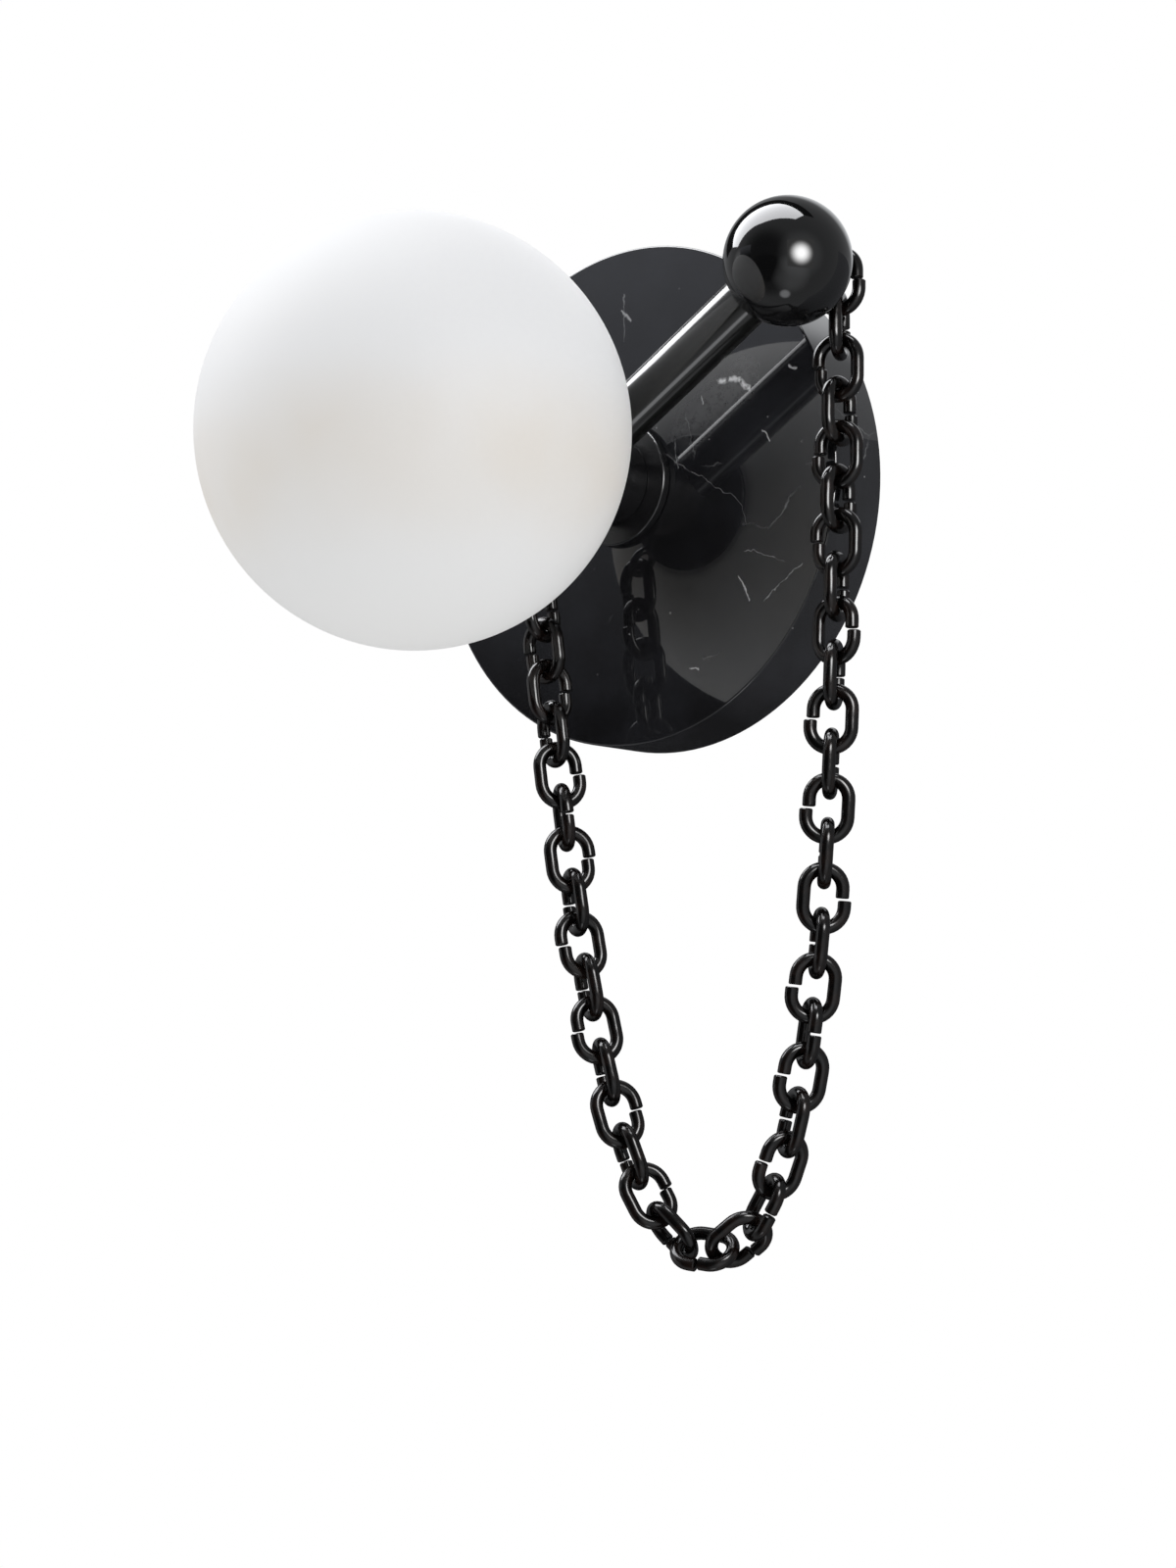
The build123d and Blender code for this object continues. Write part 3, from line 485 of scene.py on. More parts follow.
    def dress(self, tree: Tree, point: Source) -> dict:
        """Ground, cloud and calcite, with a sawn back.

        Args:
            tree: the material's node tree.
            point: place on the surface, in metres.

        Returns:
            The shader's inputs.
        """
        waver = add_node(tree, "TexNoise", self.waver.at(point)).outputs["Color"]
        centred = add_node(tree, "VectorMath", (waver, (0.5, 0.5, 0.5)), operation="SUBTRACT")
        push = add_node(tree, "VectorMath", {0: centred, "Scale": self.waver_reach * MM}, operation="SCALE")
        wavering = add_node(tree, "VectorMath", (point, push), operation="ADD")
        haze = add_node(tree, "MapRange", (add_node(tree, "TexNoise", self.haze.at(wavering)), 0.42, 0.75))
        body = add_node(tree, "MixRGB", (haze, linear(self.ground), linear(self.cloud)))
        calcite = self.calcite_mask(tree, point, wavering)
        veined = add_node(tree, "MixRGB", (calcite, body, linear(self.calcite)))
        sawn = self.sawn_mask(tree, point)
        colour = add_node(tree, "MixRGB", (sawn, veined, linear(self.sawn)))
        roughness = add_node(tree, "MapRange", (sawn, 0.0, 1.0, *self.polish))
        marks = add_node(tree, "Math", (add_node(tree, "TexNoise", self.saw.at(point)), sawn), operation="MULTIPLY")
        bump = add_node(tree, "Bump", {"Height": marks, "Strength": 0.4, "Distance": 0.15 * MM})
        return {"Base Color": colour, "Roughness": roughness, "Normal": bump, "IOR": 1.7}


@dataclass(frozen=True)
class OpalGlass(Finish):
    """Opal glass, blown and acid-etched outside: dense milk white with a soft satin sheen, and a painted warm shade
    below the middle.
    """

    name: str = "satin_opal_glass"
    milk: str = "#f5f6f8"
    warm_shade_colour: str = "#efebe6"
    # colour, height and reach of the painted warm shade below the globe's middle, in mm
    shade_belt_height: float = -24.0
    shade_belt_reach: float = 40.0
    etch: Cloud = Cloud(60.0)
    polish: Pair = (0.66, 0.76)

    def dress(self, tree: Tree, point: Source) -> dict:
        """A nearly even white, with a faintly uneven skin and a painted soft, warm shade in a belt below the middle.

        Args:
            tree: the material's node tree.
            point: place on the surface, in metres.

        Returns:
            The shader's inputs.
        """
        etch = add_node(tree, "TexNoise", self.etch.at(point))
        # painted shade: a warm, slightly darker colour, patchy with the etch texture, painted in a belt below the
        # globe's middle where its lower side falls in shade
        height = add_node(tree, "SeparateXYZ", (point,)).outputs["Z"]
        above_belt = add_node(tree, "Math", (height, self.shade_belt_height * MM), operation="SUBTRACT")
        off_belt = add_node(tree, "Math", (above_belt,), operation="ABSOLUTE")
        fade = (off_belt, 0.0, self.shade_belt_reach * MM, 1.0, 0.0)
        in_shade_belt = add_node(tree, "MapRange", fade, interpolation_type="SMOOTHSTEP")
        shade_patches = add_node(tree, "MapRange", (etch, 0.3, 0.6, 0.35))
        cloudy = add_node(tree, "Math", (in_shade_belt, shade_patches), operation="MULTIPLY")
        blown = add_node(tree, "MixRGB", (cloudy, linear(self.milk), linear(self.warm_shade_colour)))
        roughness = add_node(tree, "MapRange", (etch, 0.0, 1.0, *self.polish))
        return {"Base Color": blown, "Roughness": roughness, "IOR": 1.5, "Specular IOR Level": 0.3}


@dataclass(frozen=True)
class Skin(Finish):
    """A plain finish: a cloudy texture varies its colour and its polish, and a grain roughens it.

    Attributes:
        colour: its colour.
        tint: second colour, or empty for an even one.
        polish: least and greatest roughness.
        cloud: texture that mixes the two colours and varies the polish.
        tinted: the texture's values where the second colour begins and is full.
        polished: the texture's values where the roughness is least and greatest.
        grain: texture of the surface's height; None takes the cloud again.
        lift: strength of the grain and its height in mm.
        shine: other inputs of the shader.
    """

    colour: str = "#808080"
    tint: str = ""
    polish: Pair = (0.3, 0.4)
    cloud: Cloud = Cloud(7.0, 3.0)
    tinted: Pair = (0.0, 1.0)
    polished: Pair = (0.0, 1.0)
    grain: Cloud | None = None
    lift: Pair = (0.0, 0.0)
    shine: tuple[tuple[str, float], ...] = (("IOR", 1.5),)

    def tints(self) -> tuple[tuple, tuple]:
        """The linear colours at the texture's low and high end."""
        return linear(self.colour), linear(self.tint or self.colour)

    def spread(self, tree: Tree, point: Source) -> Source:
        """Lays the texture on as it is."""
        return point

    def dress(self, tree: Tree, point: Source) -> dict:
        """Colour, polish and height from the textures; what is even stays a plain value.

        Args:
            tree: the material's node tree.
            point: place on the surface, in metres.

        Returns:
            The shader's inputs.
        """
        where = self.spread(tree, point)
        cloud = add_node(tree, "TexNoise", self.cloud.at(where))
        roughness = add_node(tree, "MapRange", (cloud, *self.polished, *self.polish))
        inputs = {"Base Color": self.tints()[0], "Roughness": roughness, **dict(self.shine)}
        if self.tints()[0] != self.tints()[1]:
            share = add_node(tree, "MapRange", (cloud, *self.tinted))
            inputs["Base Color"] = add_node(tree, "MixRGB", (share, *self.tints()))
        strength, height = self.lift
        if strength:
            grain = add_node(tree, "TexNoise", self.grain.at(where)) if self.grain else cloud
            bump = {"Height": grain, "Strength": strength, "Distance": height * MM}
            inputs["Normal"] = add_node(tree, "Bump", bump)
        return inputs


@dataclass(frozen=True)
class DrawnBar(Skin):
    """Drawn steel bar, polished lengthwise and plated in black nickel under a clear lacquer.

    Fine streaks run along the bar, 0.7 mm apart; the lacquer draws the sharp highlight.
    """

    name: str = "drawn_black_nickel_bar"
    colour: str = "#0d0d0c"
    polish: Pair = (0.26, 0.36)
    cloud: Cloud = Cloud(0.7, 3.0)
    lift: Pair = (0.12, 0.02)
    shine: tuple[tuple[str, float], ...] = (
        ("IOR", 1.5), ("Specular IOR Level", 0.2), ("Coat Weight", 1.0), ("Coat Roughness", 0.03), ("Coat IOR", 1.5),
    )
    rise: float = 28.8
    stretch: float = 0.03

    def spread(self, tree: Tree, point: Source) -> Source:
        """Draws the texture out along the bar."""
        turned = (0, math.radians(self.rise), 0)
        return add_node(tree, "Mapping", {"Vector": point, "Rotation": turned, "Scale": (self.stretch, 1, 1)})


@dataclass(frozen=True)
class TurnedGunmetal(Skin):
    """Turned steel, blackened: satin, with fine rings from the lathe round the hub's axis."""

    name: str = "turned_gunmetal"
    colour: str = "#18181a"
    polish: Pair = (0.14, 0.24)
    cloud: Cloud = Cloud(0.45)
    lift: Pair = (0.1, 0.02)
    shine: tuple[tuple[str, float], ...] = (("IOR", 1.6),)

    def spread(self, tree: Tree, point: Source) -> Source:
        """Lays the texture in rings, by distance from the axis and along it.

        Args:
            tree: the material's node tree.
            point: place on the surface, in metres.

        Returns:
            Where on the texture that place lies.
        """
        across = add_node(tree, "VectorMath", (point, (1, 0, 1)), operation="MULTIPLY")
        radius = add_node(tree, "VectorMath", (across,), operation="LENGTH")
        out = add_node(tree, "SeparateXYZ", (point,)).outputs["Y"]
        return add_node(tree, "CombineXYZ", (add_node(tree, "Math", (radius, out), operation="ADD"),))


@dataclass(frozen=True)
class BlackenedSteel(Skin):
    """Steel chain, oil-blackened: semi-gloss black with brown tints and shallow dents 6.5 mm apart."""

    name: str = "oil_blackened_steel"
    colour: str = "#080707"
    tint: str = "#1a110e"
    polish: Pair = (0.1, 0.2)
    cloud: Cloud = Cloud(6.0, 5.0, 0.65)
    tinted: Pair = (0.45, 0.7)
    polished: Pair = (0.3, 0.7)
    grain: Cloud = Cloud(6.5, 1.0, 0.4)
    lift: Pair = (0.4, 0.6)
    shine: tuple[tuple[str, float], ...] = (("IOR", 1.5), ("Specular IOR Level", 0.34))


@dataclass(frozen=True)
class Metal(Skin):
    """Bare or plated metal, such as zinc-plated steel, brass or turned aluminium: two close tones in soft patches."""

    colour: str = "#a7abb0"
    tint: str = "#8b9096"
    polish: Pair = (0.28, 0.42)
    cloud: Cloud = Cloud(4.0, 4.0)
    grain: Cloud = Cloud(0.5)
    lift: Pair = (0.2, 0.03)
    shine: tuple[tuple[str, float], ...] = (("Metallic", 1.0),)


@dataclass(frozen=True)
class Moulded(Skin):
    """Moulded or pressed material with a fine skin, such as nylon, PVC, silicone or steatite."""

    polish: Pair = (0.38, 0.5)
    grain: Cloud = Cloud(0.7)
    lift: Pair = (0.25, 0.04)
    shades: Pair = (0.9, 1.08)

    def tints(self) -> tuple[tuple, tuple]:
        """The colour, a little darker and a little lighter."""
        low, high = (tuple(part * shade for part in linear(self.colour)[:3]) + (1.0,) for shade in self.shades)
        return low, high


# what each of the record's material slots is finished in
FINISHES: dict[str, Finish] = {
    "black_marble": PolishedMarble(),
    "zinc_steel": Metal("zinc_plated_steel"),
    "bush_plastic": Moulded("black_nylon", "#161616"),
    "gasket_rubber": Moulded("silicone_rubber", "#1b1b1b", polish=(0.55, 0.7)),
    "gunmetal": TurnedGunmetal(),
    "black_nickel": DrawnBar(),
    # plated in black nickel and polished: a deep black mirror with faint wipe marks
    "gloss_black_metal": Skin(
        "polished_black_nickel_ball", "#0c0c0d", polish=(0.035, 0.075), cloud=Cloud(14.0, 4.0, swirl=0.6)
    ),
    "white_ceramic": Moulded("steatite", "#e9e4d8", polish=(0.45, 0.6), grain=Cloud(0.4)),
    "terminal_plastic": Moulded("white_polyamide", "#dddbd2"),
    "lead_live": Moulded("brown_pvc", "#5b3520", polish=(0.35, 0.45)),
    "lead_neutral": Moulded("blue_pvc", "#2c58a3", polish=(0.35, 0.45)),
    "lead_earth": Moulded("green_pvc", "#5f8f2f", polish=(0.35, 0.45)),
    "brass_parts": Metal("machined_brass", "#d8b56a", "#c19a4f", (0.2, 0.32)),
    "opal_glass": OpalGlass(),
    "collar_aluminium": Metal("turned_aluminium", "#c9cbce", "#b5b8bc", (0.22, 0.34), Cloud(2.0, 4.0)),
    "lamp_plastic": Moulded("lamp_foot_plastic", "#eceae4", polish=(0.25, 0.35)),
    "lamp_glass": Moulded("frosted_lamp_glass", "#f2efe6", polish=(0.3, 0.38), grain=Cloud(0.3)),
    "black_chain": BlackenedSteel(),
}


# ------------------------------------------------------------------ sub-assemblies


@dataclass
class Dresser:
    """Keeps one material per slot and dresses the CAD nodes that stay as they are."""

    materials: dict[str, Material]

    @classmethod
    def ready(cls) -> "Dresser":
        """Builds the material of every slot."""
        return cls({slot: finish.build() for slot, finish in FINISHES.items()})

    def dress_nodes(self) -> None:
        """Gives each CAD node the finish of its slot."""
        for entry in frame["record"]["subparts"]:
            node = frame["nodes"][entry["node"]]
            node.data.materials.clear()
            node.data.materials.append(self.materials[entry["material_slot"]])

    def settle(self, piece: Object, body: Body, slot: str, node: str) -> None:
        """Gives a finished piece its material and its body, and hides the CAD node that it replaces.

        Args:
            piece: the piece.
            body: the body that it moves with.
            slot: the record's material slot.
            node: the CAD node that it replaces.
        """
        piece.data.materials.clear()
        piece.data.materials.append(self.materials[slot])
        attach(piece, body.value)
        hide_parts(node)
        log.info("%s on %s: %d faces", piece.name, body.value, len(piece.data.polygons))


@dataclass
class RodAndBall:
    """The round bar that rises from the hub and the polished ball on its end."""

    hub_out: float = 61.8
    rise: float = 28.8
    rod_radius: float = 10.0
    rod_start: float = 5.3
    into_ball: float = 8.0
    chamfer: float = 0.4
    ball_radius: float = 24.0
    hole_radius: float = 10.1
    hole_depth: float = 0.3
    rod_sides: int = 128
    ball_sides: int = 144
    ball_steps: int = 72
    pole_angle: float = 88.0

    def ball_centre(self) -> Vector:
        """Centre of the ball, in metres, from the CAD ball's far corner."""
        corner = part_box("ball")[1]
        return Vector(corner) - Vector((1, 1, 1)) * self.ball_radius * MM

    def axis(self) -> Vector:
        """Direction of the rod, from the hub to the ball."""
        slope = math.radians(self.rise)
        return Vector((math.cos(slope), 0, math.sin(slope)))

    def build(self, dresser: Dresser) -> None:
        """Turns the rod and the ball on the rod's axis.

        Args:
            dresser: holds the materials.
        """
        hub = Vector((0, -self.hub_out * MM, 0))
        centre_at = (self.ball_centre() - hub).length / MM
        where = axes(hub, Vector((0, 1, 0)), self.axis())
        end = centre_at - self.ball_radius + self.into_ball
        rod_rings = [
            Ring(self.rod_start, self.rod_radius - self.chamfer),
            Ring(self.rod_start + self.chamfer, self.rod_radius),
            Ring(end - self.chamfer, self.rod_radius), Ring(end, self.rod_radius - self.chamfer),
        ]
        rod = turn("polished_rod", rod_rings, where, self.rod_sides)
        dresser.settle(rod, Body.FRAME, "black_nickel", "rod")

        # the ball: from the bottom of the rod's hole, over its rim, round to the far pole
        rim_radius = self.hole_radius + self.chamfer
        rim = math.degrees(math.asin(rim_radius / self.ball_radius))
        rim_at = centre_at - math.sqrt(self.ball_radius ** 2 - rim_radius ** 2)
        rings = [Ring(end + self.hole_depth, self.hole_radius), Ring(rim_at + self.chamfer, self.hole_radius)]
        rings += arc_rings(centre_at, self.ball_radius, rim - 90, self.pole_angle, self.ball_steps)
        rings.append(Ring(centre_at + self.ball_radius, 0))
        ball = turn("polished_ball", rings, where, self.ball_sides)
        dresser.settle(ball, Body.FRAME, "gloss_black_metal", "ball")


@dataclass
class Globe:
    """The blown opal globe: a sphere with a ground seat and a round opening towards the hub."""

    radius: float = 80.0
    wall: float = 3.5
    seat_radius: float = 30.0
    hole_radius: float = 19.5
    back: float = 75.8
    seat_bevel: float = 0.6
    sides: int = 192
    skin_steps: int = 96
    lining_steps: int = 80
    pole_angle: float = 88.6

    def build(self, dresser: Dresser) -> None:
        """Turns the skin and the lining, and joins them at the opening.

        Args:
            dresser: holds the materials.
        """
        centre = self.back + math.sqrt(self.radius ** 2 - self.seat_radius ** 2)
        inner = self.radius - self.wall
        seat = math.degrees(math.acos(self.seat_radius / self.radius))
        throat = math.degrees(math.asin((centre - self.back - self.wall) / inner))
        skin = [Ring(self.back, self.hole_radius), Ring(self.back, self.seat_radius - self.seat_bevel)]
        skin += arc_rings(centre, self.radius, -seat, self.pole_angle, self.skin_steps)
        skin.append(Ring(centre + self.radius, 0))
        lining = [Ring(self.back, self.hole_radius), Ring(self.back + self.wall, self.hole_radius)]
        lining += arc_rings(centre, inner, -throat, self.pole_angle, self.lining_steps)
        lining.append(Ring(centre + inner, 0))
        globe = turn("opal_globe", skin, out_from_wall(), self.sides, capped=False)
        inside = turn("globe_lining", lining, out_from_wall(), self.sides, capped=False)
        pick(globe)
        inside.select_set(True)
        bpy.ops.object.join()
        smooth(globe)
        dresser.settle(globe, Body.GLOBE, "opal_glass", "globe_glass")


@dataclass
class Chain:
    """The loop of open-jointed links that hangs from the hub's eye and from the ball's.

    It repeats the part's own lengths and its hanging line, so that each link stands where its
    CAD link stands.
    """

    wire: float = 5.0
    width: float = 19.5
    length: float = 26.8
    gap: float = 0.9
    splay: float = 1.0
    play: float = 0.2
    left: int = 17
    right: int = 23
    lean: float = 45.0
    pivot: int = 21
    pivot_play: float = 0.3
    ease: float = 3.4
    ramp_low: int = 4
    ramp_high: int = 17
    ramp_left: int = -12
    eye_ring: float = 5.25
    eye_wire: float = 3.0
    eye_hole: float = 7.5
    hub_out: float = 61.8
    hub_eye_angle: float = 237.2
    hub_eye_at: float = 28.8
    ball_radius: float = 24.0
    ball_eye_side: float = 5.0
    ball_eye_up: float = 18.5
    standoff: float = 0.9
    nick: float = 0.35
    wire_sides: int = 24
    bend_steps: int = 20
    extra_turn: dict[int, float] = field(default_factory=lambda: {
        23: -6, 22: 10, 20: -12, 18: -12, 15: -18, 9: 6, 7: -7, 3: 8, -5: 6, -8: -6, -11: 7,
    })
    joint_flipped: frozenset[int] = frozenset({
        1, 3, 5, 7, 10, 11, 12, 13, 16, 18, 19, 20, 22, -2, -4, -5, -6, -9, -10, -11, -14,
    })
    joint_lower: frozenset[int] = frozenset({1, 4, 8, 14, 17, 21, -5, -6, -9, -12, -16})
    runs: tuple[tuple[str, int, int], ...] = (
        ("chain_left_upper", -17, -14), ("chain_left_middle", -13, -10), ("chain_left_lower", -9, -6),
        ("chain_left_bend", -5, -3), ("chain_bottom_left", -2, -1), ("chain_bottom_link", 0, 0),
        ("chain_bottom_right", 1, 2), ("chain_right_bend", 3, 5), ("chain_right_lower", 6, 9),
        ("chain_right_middle", 10, 13), ("chain_right_upper", 14, 17), ("chain_right_top", 18, 21),
        ("chain_anchor_links", 22, 23),
    )

    def __post_init__(self) -> None:
        """Works out a link's own lengths."""
        self.bow = (self.width - self.wire) / 2
        self.straight = self.length / 2 - self.width / 2
        self.reach = (self.length - self.wire) / 2
        self.end_reach = self.reach - (self.wire + self.eye_wire) / 2 - self.play

    def ends(self, ball: Vector) -> tuple[Vector, Vector]:
        """The lowest points of the two eyes' rings, in millimetres.

        Args:
            ball: centre of the ball, in millimetres.

        Returns:
            Where the chain hangs on the hub's eye and on the ball's.
        """
        turned = math.radians(self.hub_eye_angle)
        hub_way = Vector((math.cos(turned), 0, math.sin(turned)))
        hub_ring = Vector((0, -self.hub_out, 0)) + hub_way * self.hub_eye_at
        side, up = math.radians(self.ball_eye_side), math.radians(self.ball_eye_up)
        ball_way = Vector((math.sin(side) * math.cos(up), math.cos(side) * math.cos(up), math.sin(up)))
        stand = self.ball_radius + (self.eye_hole + 2 * self.eye_wire) / 2 + self.standoff
        ball_ring = ball + ball_way * stand
        return (
            self.lowest(hub_ring, hub_way.cross(Vector((0, 1, 0)))),
            self.lowest(ball_ring, ball_way.cross(UP).normalized()),
        )

    def lowest(self, centre: Vector, normal: Vector) -> Vector:
        """Lowest point of an eye's ring.

        Args:
            centre: the ring's centre.
            normal: the ring's axis.

        Returns:
            The point on its wire's centre line.
        """
        down = Vector((0, 0, -1))
        return centre + (down - normal * down.dot(normal)).normalized() * self.eye_ring

    def hang(self, stiffness: float, lowest: float) -> tuple[list[Pair], list[float], Pair]:
        """The line of links for one shape of catenary.

        Args:
            stiffness: horizontal pull, in link weights.
            lowest: number, not whole, of the link at the bottom.

        Returns:
            Each link's place along the span and in height, each link's slope, and the far end.
        """
        slopes = [math.atan2(n - lowest, stiffness) for n in range(-self.left, self.right + 1)]
        x, z = self.end_reach * math.cos(slopes[0]), self.end_reach * math.sin(slopes[0])
        places = [(x, z)]
        for k, (a, b) in enumerate(zip(slopes, slopes[1:])):
            play = self.play + (self.pivot_play if k - self.left == self.pivot else 0)
            reach = self.reach - (self.wire + play) / 2 / math.cos((b - a) / 2) ** self.ease
            x += reach * (math.cos(a) + math.cos(b))
            z += reach * (math.sin(a) + math.sin(b))
            places.append((x, z))
        far = (x + self.end_reach * math.cos(slopes[-1]), z + self.end_reach * math.sin(slopes[-1]))
        return places, slopes, far

    def twist(self, n: int) -> float:
        """How far a link is turned about the chain's line, in degrees.

        Args:
            n: the link's number.

        Returns:
            The angle.
        """
        left = (n + self.left) / (self.ramp_left + self.left)
        right = (self.ramp_high - n) / (self.ramp_high - self.ramp_low)
        share = min(max(0.0, min(1.0, left)), max(0.0, min(1.0, right)))
        return self.lean * share + self.extra_turn.get(n, 0) - (90 if n % 2 == 0 else 0)

    def places(self, ball: Vector) -> dict[int, Matrix]:
        """Place of every link, in metres.

        Args:
            ball: centre of the ball, in millimetres.

        Returns:
            A matrix for each link's number: local Y runs along the link, local Z is square to it.
        """
        start, end = self.ends(ball)
        run = Vector((end.x - start.x, end.y - start.y, 0))
        rise = end.z - start.z
        way = run.normalized()
        up = Vector((0, 0, 1))
        across = up.cross(way)

        def lowest_for(stiffness: float) -> float:
            """Number of the bottom link for which the far end stands at the right height."""
            return solve(lambda low: rise - self.hang(stiffness, low)[2][1], -self.left, self.right)

        stiffness = solve(lambda s: self.hang(s, lowest_for(s))[2][0] - run.length, 0.05, 30)
        lowest = lowest_for(stiffness)
        spots, slopes, _ = self.hang(stiffness, lowest)
        log.info("chain: pull %.4f, bottom %.4f, span %.2f mm", stiffness, lowest, run.length)
        found = {}
        for n, (x, z), slope in zip(range(-self.left, self.right + 1), spots, slopes):
            along = way * math.cos(slope) + up * math.sin(slope)
            side = along.cross(across)
            turned = math.radians(self.twist(n))
            normal = across * math.cos(turned) + side * math.sin(turned)
            if n in self.joint_flipped:
                normal = -normal
            if n in self.joint_lower:
                along = -along
            centre = (start + way * x + up * z) * MM
            found[n] = axes(centre, along.cross(normal), normal)
        return found

    def pattern(self) -> Object:
        """One link: round wire bent to an oval, cut through one side, with the cut's edges broken.

        Returns:
            The link at the origin, lying in the XY plane with its length along Y.
        """
        deselect()
        cut = (-self.bow * MM, self.gap / 2 * MM, 0)
        bpy.ops.mesh.primitive_circle_add(
            vertices=self.wire_sides, radius=(self.wire / 2 - self.nick) * MM, fill_type="NGON", location=cut,
            rotation=(math.pi / 2, 0, 0),
        )
        link = bpy.context.object
        bpy.ops.object.transform_apply(location=True, rotation=True, scale=True)
        edit(link)
        bpy.ops.mesh.select_all(action="SELECT")
        widen = self.wire / 2 / (self.wire / 2 - self.nick)

        def pull(step: float) -> None:
            """Extrudes the selected end along Y, in millimetres."""
            bpy.ops.mesh.extrude_region_move(TRANSFORM_OT_translate={"value": (0, step * MM, 0)})

        def bend(centre: Pair) -> None:
            """Bends the wire half round a centre, as over a mandrel."""
            middle = (centre[0] * MM, centre[1] * MM, 0)
            bpy.ops.mesh.spin(steps=self.bend_steps, angle=math.pi, center=middle, axis=(0, 0, 1), dupli=False)

        pull(self.nick)
        bpy.ops.transform.resize(value=(widen, 1, widen), center_override=(cut[0], cut[1] + self.nick * MM, 0))
        pull(self.straight - self.gap / 2 - self.nick)
        bend((0, self.straight))
        pull(-(2 * self.straight - self.splay / 2))
        bend((-self.splay / 2, -self.straight + self.splay / 2))
        pull(self.straight - self.splay / 2 - self.gap / 2 - self.nick)
        pull(self.nick)
        last = (-(self.bow + self.splay) * MM, -self.gap / 2 * MM, 0)
        bpy.ops.transform.resize(value=(1 / widen, 1, 1 / widen), center_override=last)
        smooth(link, 40)
        return link

    def build(self, dresser: Dresser, ball: Vector) -> None:
        """Copies the link to every place of the hanging line.

        Args:
            dresser: holds the materials.
            ball: centre of the ball, in millimetres.
        """
        pattern = self.pattern()
        places = self.places(ball)
        for node, first, last in self.runs:
            body = Body.FRAME if node == "chain_anchor_links" else Body.CHAIN
            for n in range(first, last + 1):
                link = pattern.copy()
                link.data = pattern.data.copy()
                link.name = f"link_{n + self.left + 1:02d}"
                link.data.name = link.name
                bpy.context.collection.objects.link(link)
                place(link, places[n])
                dresser.settle(link, body, "black_chain", node)
        bpy.data.objects.remove(pattern)


def solve(rising: Callable[[float], float], low: float, high: float) -> float:
    """Finds where a rising function crosses zero, by halving.

    Args:
        rising: the function.
        low: lower bound.
        high: upper bound.

    Returns:
        The crossing.
    """
    for _ in range(60):
        middle = (low + high) / 2
        if rising(middle) < 0:
            low = middle
        else:
            high = middle
    return (low + high) / 2


# ------------------------------------------------------------------ studio


def towards(azimuth: float, elevation: float) -> Vector:
    """Direction in the room: azimuth 0 faces the viewer, 90 is to the right, elevation is upwards.

    Args:
        azimuth: degrees.
        elevation: degrees.

    Returns:
        A unit vector.
    """
    az, el = math.radians(azimuth), math.radians(elevation)
    return Vector((math.sin(az) * math.cos(el), -math.cos(az) * math.cos(el), math.sin(el)))


@dataclass(frozen=True)
class Patch:
    """A lighter or darker part of the studio: its direction, its reach in degrees, and its change."""

    azimuth: float
    elevation: float
    reach: float
    change: float


@dataclass(frozen=True)
class Lamp:
    """A square lamp: its direction in degrees, its side in metres and its power in watts."""

    name: str
    azimuth: float
    elevation: float
    side: float
    power: float


@dataclass(frozen=True)
class Glow:
    """Light of a card: its colour, and its strength at one place along an axis of the room and at another."""

    colour: str
    low: float
    high: float
    axis: str = "Z"
    start: float = 0.0
    end: float = 1.0

    def inputs(self, tree: Tree) -> dict:
        """Even light, or light that changes along the axis.

        Args:
            tree: the card's node tree.

        Returns:
            The emission's inputs.
        """
        if self.low == self.high:
            return {"Color": linear(self.colour), "Strength": self.low}
        point = add_node(tree, "TexCoord").outputs["Object"]
        place_on_axis = add_node(tree, "SeparateXYZ", (point,)).outputs[self.axis]
        strength = add_node(tree, "MapRange", (place_on_axis, self.start, self.end, self.low, self.high))
        return {"Color": linear(self.colour), "Strength": strength}


